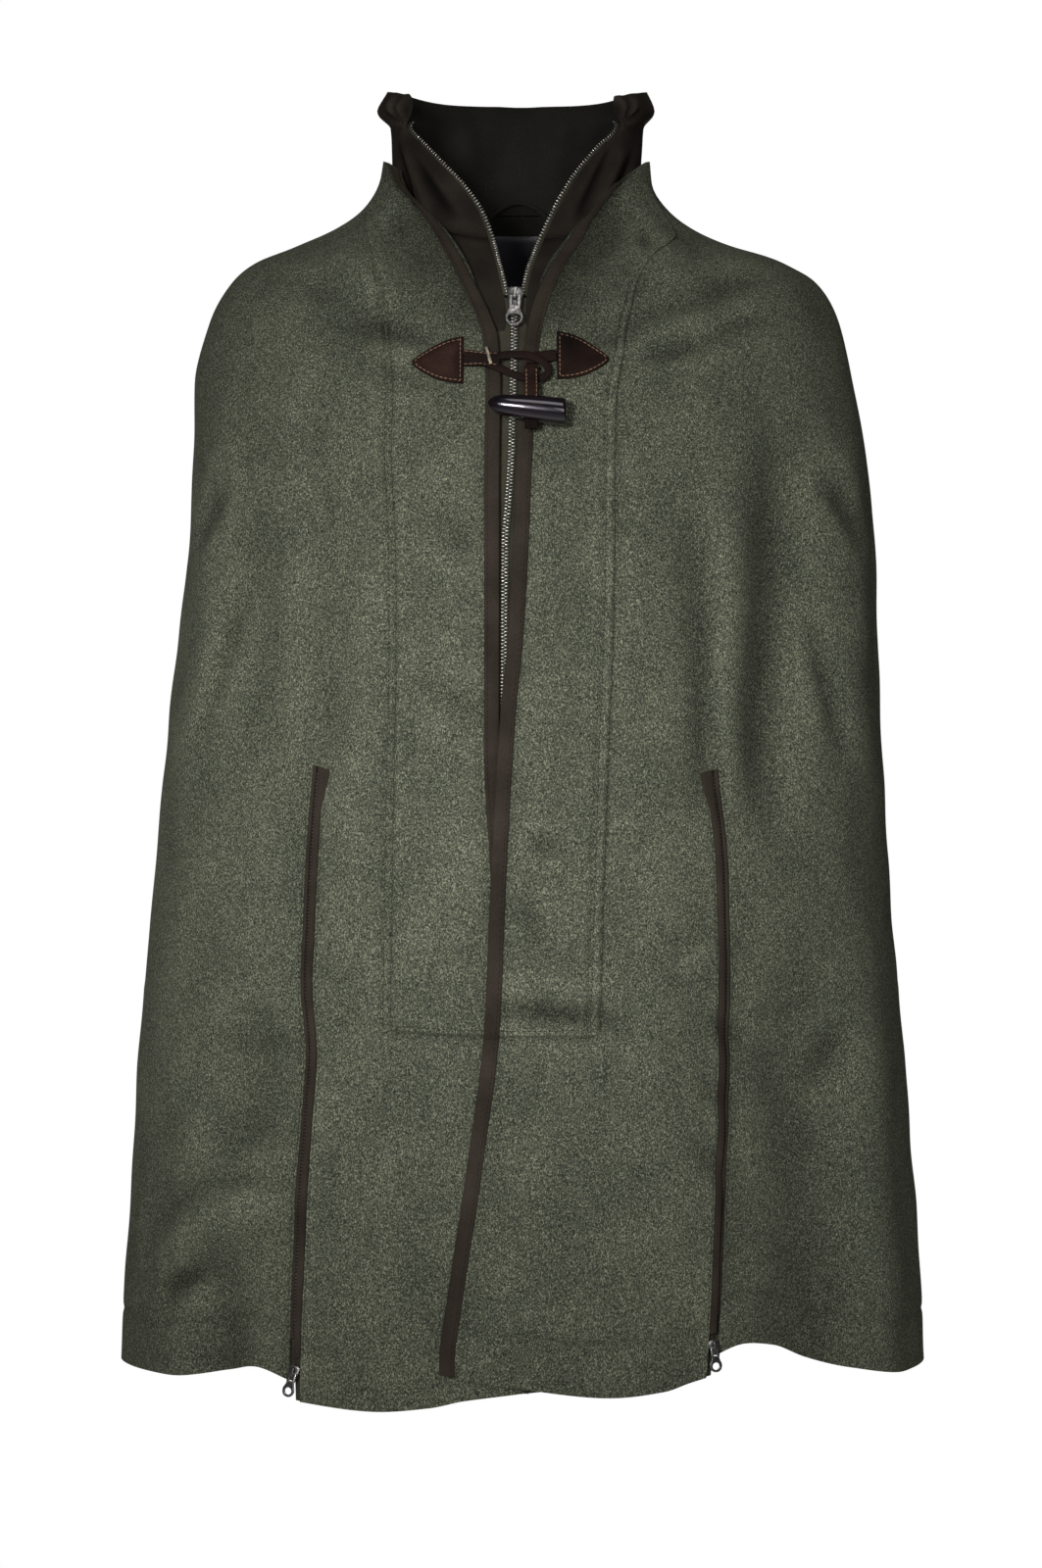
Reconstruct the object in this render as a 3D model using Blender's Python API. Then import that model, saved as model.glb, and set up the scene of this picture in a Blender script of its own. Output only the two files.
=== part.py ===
"""Loden cape with a funnel collar, a long zip, a horn toggle and two zipped arm slits.

The tables are in millimetres. X runs to the wearer's left, Y to the back and Z up. The origin is
the middle of the neck base, level with the top of the shoulders.
"""
import math
from collections import namedtuple

import bmesh
import bpy
import numpy as np
from mathutils import Matrix, Vector

MM = 0.001
GAP = 0.3            # air between two pieces at a seam
WOOL = 2.2           # wall of the loden
HEM_WOOL = 3.6       # the same wall where the hem is turned up
SUEDE = 1.0          # brown trim
SATIN = 0.9          # lining
LEATHER = 2.0        # patches and straps of the toggle
TAPE_WIDE = 6.0      # zip tape beside the teeth
TEETH_HALF = 2.6     # half width of the closed chain
BINDING_WIDE = 9.0
SLIT_FRONT = 5.8     # wool edge to the closing line of an arm slit, front side
SLIT_BACK = 3.2      # the same, back side
BIB_RISE = 1.5       # the doubled centre front stands this far off the plain front
LAP_OUT = 3.0        # the left front rides this far out where the fronts cross
LAP_IN = 3.6         # the right front lies this far in
TUCK = 3.0           # the cloth behind an arm slit lies this far in at the hem
ARC = 3.4            # mm round the body for one degree of bearing
COLLAR_WALL = 1.6    # brown collar, two layers
FACING_WIDE = 34.0   # brown panel beside the open zip
CHAIN_TAPE = 8.0     # half width of the closed zip with its tapes
CHAIN_TOP = 64.0     # depth below the neck base where the closed zip starts
CHAIN_END = 345.0    # and where the fronts cross and hide it
THROAT = [(36, 3.4), (49, 2.9), (64, 2.9)]   # open zip below the collar seam: depth, inset
LOOP_SPAN = (-24.0, 20.0)      # feet of the hanger loop, across
LOOP_FOOT = 13.5               # height of its feet
LOOP_RISE = 14.5               # and how far it arches over them
LOOP_THICK = 1.9               # radius of its cord
LEATHER_LIFT = 0.6             # patches lie this far over the wool
STRAP_LIFT = 2.5               # straps lie this far over the wool, on the bib edge
TAB_X = 6.4                    # middle of the leather tab that holds the horn
HORN_Z = -134.0
HORN_LIFT = 12.0               # underside of the tab where it runs through the horn
HORN_TILT = 5.5                # the thin end sits this much higher than the thick one
HORN_LONG = 49.7
HORN = [(28.4, 7.6), (27.4, 8.6), (20, 8.7), (6.4, 8.2), (-6, 7.2), (-14, 6), (-18.4, 4.2),
        (-20.6, 2.2), (-21.3, 0.8)]          # across, radius
ARM_PULL_LEAN = {"right": -14.0, "left": 8.0}
ARM_PULL_SIZE = 0.68           # arm slit sliders against the main one
PULL_HINGE = 3.5               # the pull turns in the bridge, this far over the slider's place
SLIDER_BELOW = -1.8            # underside of a slider

# Finish of each kind of material.
Finish = namedtuple("Finish", "colour roughness metallic")
LODEN = Finish((0.075, 0.080, 0.058), 0.95, 0.0)
MICROFIBRE = Finish((0.060, 0.038, 0.026), 0.8, 0.0)
ZIP_TAPE = Finish((0.050, 0.042, 0.026), 0.85, 0.0)
BLACK_SATIN = Finish((0.010, 0.011, 0.014), 0.4, 0.0)
BROWN_LEATHER = Finish((0.030, 0.019, 0.014), 0.5, 0.0)
DARK_HORN = Finish((0.018, 0.013, 0.014), 0.2, 0.0)
OLD_BRASS = Finish((0.22, 0.19, 0.15), 0.4, 1.0)

# Leather patches: edge toward the zip, tip, height of each, and half height at the edge.
Patch = namedtuple("Patch", "edge tip edge_z tip_z half")
PATCH_ARCH = ((0, 0.25, 0.5, 0.75, 0.9, 1), (1, 0.93, 0.77, 0.49, 0.26, 0.07))   # share along, half height
PATCHES = {"right": Patch(-36.4, -69, -98.6, -99.6, 15.4), "left": Patch(22.6, 55.8, -95.6, -98, 15.8)}

# Straps over the bib: both ends across, both ends up, half width at both ends.
Strap = namedtuple("Strap", "start end start_z end_z start_half end_half")
STRAPS = {"right": Strap(-36, -17, -98.4, -97, 5.4, 4), "left": Strap(22.2, 3, -96.6, -98.4, 3.6, 3.6)}

# Pull tab: right half of its outline and of its slot for the bridge, across and along.
PULL_RIM = [(3.6, -0.75), (4.3, 0), (4.3, 6.6), (3.7, 9.4), (4.6, 12.2), (5.7, 14.6), (5.9, 17.2), (5, 20),
            (3.2, 21.8), (1.2, 22.5)]
PULL_SLOT = [(1.6, 0.75), (1.6, 7.6)]
PULL_EYE = (17.0, 3.4)         # place along the pull, radius
PULL_FACES = (2.7, 4.3)        # underside and top over the slider's place
SLIDER_RIM = [(3.2, -7), (5, -5.4), (5, -1), (4, 3), (4, 6), (3.2, 7)]
BRIDGE = [(-5.6, 2.0), (-5.6, 5), (-4.6, 6), (1.9, 6), (2.9, 5), (2.9, 2.0),
          (1.5, 2.0), (1.5, 4.8), (-4.2, 4.8), (-4.2, 2.0)]   # along, out

# Rings of the cape from the collar edge to the hem: half widths, depths and heights.
Section = namedtuple("Section", "name right left side_z front front_z back back_z rows")
CAPE = [
    Section("collar_top", 91, 85, 45, 62, 2, 70, 50, 2),
    Section("collar_mid", 95, 87, 30, 66, -10, 72, 32, 2),
    Section("neck", 105, 97, 14, 74, -22, 75, 12, 2),
    Section("neck_slope", 124, 114, 0, 85, -38, 80, -12, 2),
    Section("shoulder_in", 149, 140, -12, 94, -57, 88, -36, 1),
    Section("shoulder_mid", 175, 174, -22, 103, -80, 98, -60, 1),
    Section("shoulder_out", 190, 195, -34, 111, -104, 107, -86, 2),
    Section("shoulder_tip", 206, 211, -62, 120, -140, 116, -122, 2),
    Section("upper_arm", 216, 220, -102, 129, -182, 125, -168, 2),
    Section("chest", 217, 229, -152, 135, -228, 131, -218, 2),
    Section("elbow", 222, 235, -228, 140, -292, 135, -288, 2),
    Section("slit_top", 233, 238, -320, 144, -372, 140, -368, 4),
    Section("bib_end", 249, 249, -496, 151, -524, 148, -524, 1),
    Section("below_bib", 250, 250, -503, 151, -530, 148, -530, 3),
    Section("thigh", 258, 260, -630, 156, -640, 156, -640, 3),
    Section("hem_line", 263, 266, -713, 160, -718, 163, -718, 1),
    Section("hem", 264, 267, -746, 162, -752, 165, -752, 0),
]

# Rings of the brown inner collar from its top edge to its lower seam.
COLLAR = [
    Section("top", 90, 84, 92, 55, 91, 66, 93, 2),
    Section("roll", 95, 88, 77, 55, 76, 65, 84, 1),
    Section("zip_end", 86, 81, 66, 52, 63, 64, 73, 2),
    Section("middle", 85, 79, 45, 56, 32, 63, 50, 2),
    Section("low", 88, 81, 26, 60, 6, 64, 30, 2),
    Section("seam", 97, 89, 12, 64, -16, 66, 19, 0),
]

# Rings of the band below the collar seam behind the neck.
NECK_BAND = [
    Section("top", 97, 89, 11.6, 64, -16, 66, 18.6, 2),
    Section("bottom", 104, 96, 0, 70, -30, 72.4, 6.5, 0),
]

# Lines down the fronts: height, and bearing in degrees round from centre front.
LINES = {
    ("edge", "right"): [(40, -74), (32, -68), (21.6, -54), (8.2, -42.4), (-5.3, -32.6), (-22.5, -22.9),
                        (-39, -15.4), (-56, -9.9), (-70, -6.8), (-83, -5), (-119, -3.9), (-343, -3.6),
                        (-420, -2.5), (-600, 0.5), (-760, 2.5)],
    ("edge", "left"): [(30, 56), (24, 46), (5.6, 32.4), (-18, 18.8), (-32.5, 11.5), (-48, 6), (-64, 2.9),
                       (-77, 1.6), (-93, 0.7), (-119, 0), (-219, -1.2), (-281, -2.1), (-318, -3),
                       (-422, -4.3), (-518, -5.1), (-612, -7.4), (-737, -10.9)],
    ("stitch", "right"): [(44, -81), (14, -74), (1, -64), (-26, -45), (-52, -33), (-86, -26.6),
                          (-131, -23.2), (-243, -21.2), (-519, -19.4), (-760, -18.5)],
    ("stitch", "left"): [(44, 78), (14, 71), (-8, 62), (-30, 40.6), (-53, 28.7), (-80, 21.5),
                         (-131, 16.7), (-244, 14.7), (-520, 11.4), (-760, 9.5)],
    ("slit", "right"): [(44, -86), (14, -82), (-10, -72), (-50, -50), (-120, -38), (-358, -34.2),
                        (-482, -34), (-543, -32.5), (-602, -33), (-760, -33.4)],
    ("slit", "left"): [(44, 84), (14, 80), (-10, 71), (-50, 48), (-120, 36), (-352, 31), (-429, 32),
                       (-552, 31), (-653, 28.9), (-760, 26.9)],
}

# Centre of the closed zip on the cape, and the two zip edges of the inner collar (height, across).
CHAIN = [(-60, -1.5), (-87, -1.4), (-150, -1.6), (-182, -2), (-219, -2.7), (-350, -2.75)]
ZIP_EDGE = {
    "right": [(92, -79), (78, -77), (64, -72), (54, -61), (38, -46.5), (23, -33.5), (8, -25.5), (-7, -18.7),
              (-25, -14.5), (-50, -9)],
    "left": [(92, 66), (78, 64.5), (64, 62.5), (50, 49), (36, 37), (20, 26.5), (6, 19.6), (-13, 11.7),
             (-28, 6), (-50, 1)],
}

# How far the hem lies above its ring: distance across, rise.
HEM_RISE = {
    ("right", "front"): [(-150, -4.5), (-94, -8.5), (-58, -5), (-36, 0), (10, 6)],
    ("left", "front"): [(-52, 17), (2, 8), (60, 2), (90, 4.5), (105, 9), (125, 14)],
    ("right", "side"): [(-264, 0), (-226, 1), (-194, 8.5), (-171, 13.5), (-145, 6.5)],
    ("left", "side"): [(115, 22), (143, 31), (166, 27.5), (190, 17), (214, 8), (248, 0), (267, 0)],
}

# Soft folds as lines on the cape: bearing and height of both ends, half width, depth (out is plus).
Fold = namedtuple("Fold", "name top_bearing top_z low_bearing low_z width depth")
FOLDS = [
    Fold("drag_right_upper", -60, -30, -20, -92, 26, -3.5),
    Fold("drag_right_lower", -44, -60, -17, -124, 22, -3),
    Fold("arm_hollow_right", -35, -120, -31, -400, 22, -5),
    Fold("arm_hollow_outer", -50, -170, -41, -420, 26, -5),
    Fold("front_swell_right", -27, -180, -26, -560, 18, 4),
    Fold("elbow_swell_right", -66, -90, -62, -420, 34, 5),
    Fold("side_hollow_right", -44, -500, -42, -620, 30, -9),
    Fold("side_buckle_right", -58, -690, -38, -620, 24, 7),
    Fold("hem_hollow_right", -47, -640, -46, -900, 26, -10),
    Fold("drag_left_upper", 62, -30, 26, -74, 24, -3.5),
    Fold("drag_left_lower", 56, -58, 20, -104, 22, -3),
    Fold("arm_hollow_left", 49, -110, 38, -430, 24, -13),
    Fold("arm_hollow_inner", 28, -170, 30, -400, 13, -6),
    Fold("arm_swell_left", 36, -160, 34, -420, 14, 4),
    Fold("elbow_swell_left", 66, -80, 64, -420, 30, 6),
    Fold("side_hollow_left", 43, -440, 45, -900, 32, -13),
    Fold("side_swell_left", 62, -420, 60, -900, 30, 6),
    Fold("bib_hollow_left", 13, -130, 6, -400, 16, -3),
    Fold("bib_swell_right", -12, -120, -12, -700, 20, 3),
    Fold("front_swell_left", 21, -300, 18, -760, 22, 4),
    Fold("back_fold_a", 112, -200, 114, -900, 34, -10),
    Fold("back_fold_b", 138, -230, 140, -900, 36, 9),
    Fold("back_fold_c", 166, -260, 162, -900, 34, -9),
    Fold("back_fold_d", 191, -240, 196, -900, 36, 9),
    Fold("back_fold_e", 220, -220, 222, -900, 34, -10),
    Fold("back_fold_f", 246, -200, 244, -900, 34, 8),
]


def smooth_curve(stations, values, at):
    """Smooth curve through the rows of a table that never swings past a row."""
    stations = np.asarray(stations, float)
    values = np.asarray(values, float)
    at = np.asarray(at, float)
    length = np.diff(stations)
    slope = np.diff(values) / length
    product = slope[:-1] * slope[1:]
    total = np.where(product > 0, slope[:-1] + slope[1:], 1)
    tangent = np.concatenate([slope[:1], np.where(product > 0, 2 * product / total, 0), slope[-1:]])
    i = np.clip(np.searchsorted(stations, at, side="right") - 1, 0, len(length) - 1)
    t = np.clip((at - stations[i]) / length[i], 0, 1)
    rise = (1 + 2 * t) * (1 - t) ** 2 * values[i] + t * t * (3 - 2 * t) * values[i + 1]
    bend = t * (1 - t) ** 2 * tangent[i] + t * t * (t - 1) * tangent[i + 1]
    return rise + bend * length[i]


def ramp(value, start, end):
    """Ease from 0 at start to 1 at end."""
    t = np.clip((np.asarray(value, float) - start) / (end - start), 0, 1)
    return t * t * (3 - 2 * t)


class Form:
    """A surface through a table of rings, read by bearing and by station down its length."""

    def __init__(self, sections):
        self.sections = sections
        columns = np.array([row[1:] for row in sections], float)
        self.columns = dict(zip(Section._fields[1:], columns.T))
        side = np.hypot(np.diff(self.columns["right"]), np.diff(self.columns["side_z"]))
        front = np.hypot(np.diff(self.columns["front"]), np.diff(self.columns["front_z"]))
        self.stations = np.concatenate([[0], np.cumsum((side + front) / 2)])

    def station(self, name):
        """Station of a named ring."""
        return self.stations[[row.name for row in self.sections].index(name)]

    def read(self, column, station):
        """One column of the table, smoothed along the length."""
        return smooth_curve(self.stations, self.columns[column], station)

    def point(self, bearing, station):
        """Point of the plain surface."""
        angle = np.radians(bearing)
        across = np.sin(angle)
        ahead = np.cos(angle)
        half = np.where(across < 0, self.read("right", station), self.read("left", station))
        depth = np.where(ahead > 0, self.read("front", station), self.read("back", station))
        side_z = self.read("side_z", station)
        end_z = np.where(ahead > 0, self.read("front_z", station), self.read("back_z", station))
        return np.stack([half * across, -depth * ahead, side_z + (end_z - side_z) * ahead ** 2], -1)

    def outward(self, bearing, station):
        """Unit normal of the plain surface."""
        step = 0.5
        middle = np.clip(station, step, self.stations[-1] - step)
        across = self.point(bearing + step, middle) - self.point(bearing - step, middle)
        down = self.point(bearing, middle + step) - self.point(bearing, middle - step)
        normal = np.cross(down, across)
        return normal / np.linalg.norm(normal, axis=-1, keepdims=True)

    def rows(self, first, last):
        """Stations of the mesh rows between two named rings."""
        names = [row.name for row in self.sections]
        stations = []
        for i in range(names.index(first), names.index(last)):
            count = self.sections[i].rows
            stations.extend(np.linspace(self.stations[i], self.stations[i + 1], count + 1)[:-1])
        stations.append(self.station(last))
        return np.array(stations)

    def degrees(self, distance, bearing, station):
        """Bearing step that covers a distance round the ring."""
        step = 0.5
        across = self.point(bearing + step, station) - self.point(bearing - step, station)
        return distance / np.linalg.norm(across, axis=-1)

    def bearing_of(self, line, station):
        """Bearing where a line given by height crosses a station."""
        heights = [-row[0] for row in line]
        bearings = [row[1] for row in line]
        bearing = np.full(np.shape(station), bearings[-1], float)
        for _ in range(30):
            height = self.point(bearing, station)[..., 2]
            bearing = (bearing + smooth_curve(heights, bearings, -height)) / 2
        return bearing


cape = Form(CAPE)
collar = Form(COLLAR)
neck_band = Form(NECK_BAND)
SIGN = {"right": -1, "left": 1}


def fold_depth(bearing, height):
    """All folds together, as a distance out from the plain surface."""
    total = np.zeros(np.shape(bearing))
    for fold in FOLDS:
        way = np.clip((fold.top_z - height) / (fold.top_z - fold.low_z), 0, 1)
        middle = fold.top_bearing + (fold.low_bearing - fold.top_bearing) * way
        around = (bearing - middle + 180) % 360 - 180
        fade = ramp(way, 0, 0.3) * ramp(1 - way, 0, 0.3)
        total = total + fold.depth * fade * np.exp(-(around * ARC / fold.width) ** 2)
    return total


def hem_rise(side, bearing, station):
    """Rise of the hem of one front, growing from below the bib to the hem."""
    across = cape.point(bearing, station)[..., 0]
    slit = cape.bearing_of(LINES["slit", side], station)
    rises = []
    for part in ("front", "side"):
        table = HEM_RISE[side, part]
        rises.append(smooth_curve([row[0] for row in table], [row[1] for row in table], across))
    rise = np.where(np.abs(bearing) < np.abs(slit), rises[0], rises[1])
    return rise * ramp(station, cape.station("below_bib"), cape.station("hem"))


def front(side, bearing, station):
    """Outside of one front with its folds, doubled bib, lap and hem; and the outward normals."""
    bearing, station = np.broadcast_arrays(np.asarray(bearing, float), np.asarray(station, float))
    points = cape.point(bearing, station)
    normals = cape.outward(bearing, station)
    height = points[..., 2]
    sign = SIGN[side]
    edge = cape.bearing_of(LINES["edge", side], station)
    stitch = cape.bearing_of(LINES["stitch", side], station)
    slit = cape.bearing_of(LINES["slit", side], station)
    seam_fade = 1 - 0.5 * ramp(np.abs(bearing), 80, 90)
    out = fold_depth(bearing, height) * seam_fade
    inside_bib = ramp((stitch - bearing) * sign * ARC, -2, 2)
    above_end = 1 - ramp(station, cape.station("bib_end"), cape.station("below_bib"))
    out = out + BIB_RISE * inside_bib * above_end
    lap = LAP_OUT if side == "left" else -LAP_IN
    from_edge = (bearing - edge) * sign * ARC
    out = out + lap * ramp(-height, 160, 340) * (1 - ramp(from_edge, 60, 150))
    behind_slit = ramp((bearing - slit) * sign * ARC, -0.5, 0.5) * ramp(-height, 380, 700)
    out = out - TUCK * behind_slit * np.exp(-np.abs(bearing - slit) * ARC / 50)
    points = points + normals * out[..., None]
    points[..., 2] += hem_rise(side, bearing, station)
    return points, normals


def back(bearing, station):
    """Outside of the back with its folds, and the outward normals."""
    bearing, station = np.broadcast_arrays(np.asarray(bearing, float), np.asarray(station, float))
    points = cape.point(bearing, station)
    normals = cape.outward(bearing, station)
    seam_fade = 1 - 0.5 * (1 - ramp(np.abs((bearing + 360) % 360 - 180), 90, 80))
    out = fold_depth(bearing, points[..., 2]) * seam_fade
    return points + normals * out[..., None], normals


def wool_wall(station):
    """Thickness of the loden, doubled by the turned hem."""
    return WOOL + (HEM_WOOL - WOOL) * ramp(station, cape.station("hem_line") - 6, cape.station("hem_line"))


def clear_scene():
    """Start from an empty file."""
    for item in list(bpy.data.objects):
        bpy.data.objects.remove(item)


def paint(name, finish):
    """Plain material of one piece."""
    material = bpy.data.materials.new(name)
    material.use_nodes = True
    shader = material.node_tree.nodes["Principled BSDF"]
    shader.inputs["Base Color"].default_value = (*finish.colour, 1)
    shader.inputs["Roughness"].default_value = finish.roughness
    shader.inputs["Metallic"].default_value = finish.metallic
    return material


def add_object(name, vertices, faces, finish):
    """Closed solid from points in millimetres, with its normals turned out."""
    mesh = bpy.data.meshes.new(name)
    mesh.from_pydata([tuple(float(c) * MM for c in v) for v in vertices], [], faces)
    work = bmesh.new()
    work.from_mesh(mesh)
    bmesh.ops.recalc_face_normals(work, faces=work.faces)
    bmesh.ops.triangulate(work, faces=work.faces)
    work.to_mesh(mesh)
    work.free()
    mesh.materials.append(paint(name, finish))
    part = bpy.data.objects.new(name, mesh)
    bpy.context.collection.objects.link(part)
    return part


def wall(name, outer, inner, finish, keep=None):
    """Closed sheet between two grids of points; keep leaves out the cells of a slit."""
    rows, columns = outer.shape[:2]
    if keep is None:
        keep = np.ones((rows - 1, columns - 1), bool)
    number = np.arange(rows * columns).reshape(rows, columns)
    shift = rows * columns
    faces = []
    edges = {}
    for i in range(rows - 1):
        for j in range(columns - 1):
            if not keep[i, j]:
                continue
            cell = [number[i, j], number[i, j + 1], number[i + 1, j + 1], number[i + 1, j]]
            for half in ((cell[0], cell[1], cell[2]), (cell[0], cell[2], cell[3])):
                faces.append([int(n) for n in half])
                faces.append([int(n) + shift for n in reversed(half)])
            for a, b in zip(cell, cell[1:] + cell[:1]):
                edges[(int(a), int(b))] = (int(b), int(a)) not in edges
                if not edges[(int(a), int(b))]:
                    edges[(int(b), int(a))] = False
    for (a, b), rim in edges.items():
        if rim:
            faces.append([b, a, a + shift, b + shift])
    points = np.concatenate([outer.reshape(-1, 3), inner.reshape(-1, 3)])
    used = sorted({n for face in faces for n in face})
    place = {n: k for k, n in enumerate(used)}
    faces = [[place[n] for n in face] for face in faces]
    return add_object(name, points[used], faces, finish)


def swept(name, rings, finish, closed=False):
    """Closed solid through rings of equal count: a strip with end caps, or a closed loop."""
    rings = np.asarray(rings)
    count, sides = rings.shape[:2]
    number = np.arange(count * sides).reshape(count, sides)
    faces = []
    for i in range(count if closed else count - 1):
        k = (i + 1) % count
        for j in range(sides):
            m = (j + 1) % sides
            faces.append([int(number[i, j]), int(number[i, m]), int(number[k, m]), int(number[k, j])])
    if not closed:
        faces.append([int(n) for n in number[0][::-1]])
        faces.append([int(n) for n in number[-1]])
    return add_object(name, rings.reshape(-1, 3), faces, finish)


def binding_line(side, stations):
    """Bearing of the stitched edge of the binding, squeezed at the collar corner."""
    edge = cape.bearing_of(LINES["edge", side], stations)
    step = cape.degrees(BINDING_WIDE, edge, stations)
    return edge + SIGN[side] * np.minimum(step, np.abs(SIGN[side] * 78 - edge) * 0.5)


def front_columns(side, stations):
    """Bearings of a front's mesh columns, and which gap between columns is the slit."""
    sign = SIGN[side]
    edge = cape.bearing_of(LINES["edge", side], stations)
    stitch = cape.bearing_of(LINES["stitch", side], stations)
    slit = cape.bearing_of(LINES["slit", side], stations)
    room = np.clip(np.abs(sign * 90 - edge) / 60, 0.25, 1)
    band = cape.degrees(2.0, stitch, stations) * sign * room
    ahead = cape.degrees(SLIT_FRONT, slit, stations) * sign * room
    behind = cape.degrees(SLIT_BACK, slit, stations) * sign * room
    seam = sign * 90 - cape.degrees(GAP * 0.6, sign * 89, stations) * sign
    bound = binding_line(side, stations)
    spans = [(edge, bound, 1, True), (bound, stitch - band, 5, True),
             (stitch + band, slit - ahead, 5, False), (slit + behind, seam, 8, False)]
    columns = [edge]
    slit_cell = 0
    for start, end, count, joined in spans:
        if not joined:
            slit_cell = len(columns) - 1
            columns.append(start)
        for i in range(1, count + 1):
            columns.append(start + (end - start) * i / count)
    return np.stack(columns, 1), slit_cell


def make_front(side):
    """One front panel: collar corner to hem, with its arm slit."""
    stations = cape.rows("collar_top", "hem")
    bearings, slit_cell = front_columns(side, stations)
    grid_stations = stations[:, None] + 0 * bearings
    outer, normals = front(side, bearings, grid_stations)
    stitch = cape.bearing_of(LINES["stitch", side], grid_stations)
    bib = ramp((stitch - bearings) * SIGN[side] * ARC, -2, 2)
    bib = bib * (1 - ramp(grid_stations, cape.station("bib_end"), cape.station("below_bib")))
    inner = outer - normals * (wool_wall(grid_stations) + BIB_RISE * bib)[..., None]
    keep = np.ones((len(stations) - 1, bearings.shape[1] - 1), bool)
    keep[stations[:-1] >= cape.station("slit_top") - 0.01, slit_cell] = False
    return wall("front_" + side, outer, inner, LODEN, keep)


def make_back():
    """Back panel from the neck seam to the hem, and the outer collar behind the neck."""
    panels = (("back", "neck", "hem", 20), ("collar_back", "collar_top", "neck", 14))
    for name, first, last, columns in panels:
        stations = cape.rows(first, last)
        if name == "back":
            stations[0] += GAP * 0.6
        else:
            stations[-1] -= GAP * 0.6
        step = cape.degrees(GAP * 0.6, 91.0, stations)
        t = np.linspace(0, 1, columns + 1)
        bearings = (90 + step)[:, None] + (180 - 2 * step)[:, None] * t
        grid_stations = stations[:, None] + 0 * bearings
        outer, normals = back(bearings, grid_stations)
        inner = outer - normals * wool_wall(grid_stations)[..., None]
        wall(name, outer, inner, LODEN)


def strip_on_front(name, side, stations, bearings, low, high, finish):
    """Strip of trim that follows a front, between two heights over its cloth."""
    grid_stations = stations[:, None] + 0 * bearings
    points, normals = front(side, bearings, grid_stations)
    low = np.broadcast_to(low, bearings.shape)[..., None]
    high = np.broadcast_to(high, bearings.shape)[..., None]
    return wall(name, points + normals * high, points + normals * low, finish)


def make_binding(side):
    """Brown strip along the front edge, from the collar corner to the hem."""
    stations = cape.rows("collar_top", "hem")
    edge = cape.bearing_of(LINES["edge", side], stations)
    bearings = np.stack([edge, binding_line(side, stations)], 1)
    strip_on_front("binding_" + side, side, stations, bearings, GAP, GAP + SUEDE, MICROFIBRE)


def make_arm_zip(side):
    """Two brown welts and the zip tape behind an arm slit."""
    stations = cape.rows("slit_top", "hem")
    slit = cape.bearing_of(LINES["slit", side], stations)
    one = cape.degrees(1.0, slit, stations) * SIGN[side]
    upper = stations.copy()
    upper[0] += GAP
    upper[-1] = cape.station("hem") - 25
    slit_upper = cape.bearing_of(LINES["slit", side], upper)
    welts = (("front", -SLIT_FRONT + GAP, -0.5), ("back", 0.5, SLIT_BACK - GAP))
    for part, start, end in welts:
        bearings = np.stack([slit_upper + one * start, slit_upper + one * end], 1)
        strip_on_front("slit_welt_%s_%s" % (part, side), side, upper, bearings, -1.4, 0.5, MICROFIBRE)
    back_face = -(wool_wall(stations) + 0.5)[:, None] * np.ones((1, 4))
    places = (-6.8, -0.6, 0.6, 4.2)
    bearings = np.stack([slit + one * place for place in places], 1)
    strip_on_front("slit_tape_" + side, side, stations, bearings, back_face - 0.7, back_face, ZIP_TAPE)


def zip_line(side, form, station):
    """Distance across of the teeth of the open zip at a station of the collar or the cape."""
    table = ZIP_EDGE[side]
    across = np.full(np.shape(station), table[-1][1], float)
    for _ in range(30):
        bearing = bearing_across(form, across, station)
        height = form.point(bearing, station)[..., 2]
        wanted = smooth_curve([-row[0] for row in table], [row[1] for row in table], -height)
        across = (across + wanted) / 2
    return across


def bearing_across(form, across, station):
    """Bearing of a front point from its distance across."""
    half = np.where(np.asarray(across) < 0, form.read("right", station), form.read("left", station))
    return np.degrees(np.arcsin(np.clip(across / half, -0.999, 0.999)))


def place_on_front(side, across, height):
    """Point and normal of a front from its distance across and its height."""
    across = np.asarray(across, float)
    height = np.asarray(height, float)
    station = np.interp(-height, -cape.columns["front_z"], cape.stations) + 0 * across
    for _ in range(40):
        bearing = bearing_across(cape, across, station)
        station = station + (cape.point(bearing, station)[..., 2] - height) * 0.8
    return front(side, bearing, station)


def make_inner_collar():
    """Brown funnel collar, open in front between its two zip edges."""
    stations = collar.rows("top", "seam")
    left = bearing_across(collar, zip_line("left", collar, stations) + TAPE_WIDE, stations)
    right = bearing_across(collar, zip_line("right", collar, stations) - TAPE_WIDE, stations)
    t = np.linspace(0, 1, 28)
    bearings = left[:, None] + (360 + right - left)[:, None] * t
    grid_stations = stations[:, None] + 0 * bearings
    outer = collar.point(bearings, grid_stations)
    normals = collar.outward(bearings, grid_stations)
    wall("collar_inner", outer, outer - normals * COLLAR_WALL, MICROFIBRE)


def throat(side, distance):
    """Rows from the collar seam to the slider, each at distances out from the zip line."""
    sign = SIGN[side]
    places = [(collar, collar.station("seam"), 0.0)]
    for depth, inset in THROAT:
        places.append((cape, np.interp(depth, -cape.columns["front_z"], cape.stations), inset))
    rows = []
    for form, station, inset in places:
        line = zip_line(side, form, station)
        bearing = bearing_across(form, line + sign * np.asarray(distance, float), station)
        normal = form.outward(bearing, station)
        rows.append((form.point(bearing, station) - normal * inset, normal))
    points = np.stack([row[0] for row in rows])
    points[0, :, 2] -= GAP
    return points, np.stack([row[1] for row in rows])


def make_facing(side):
    """Brown panel beside the zip, below the collar seam and behind the front edge."""
    points, normals = throat(side, np.linspace(TAPE_WIDE, TAPE_WIDE + FACING_WIDE, 6))
    wall("facing_" + side, points, points - normals * SUEDE, MICROFIBRE)


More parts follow.
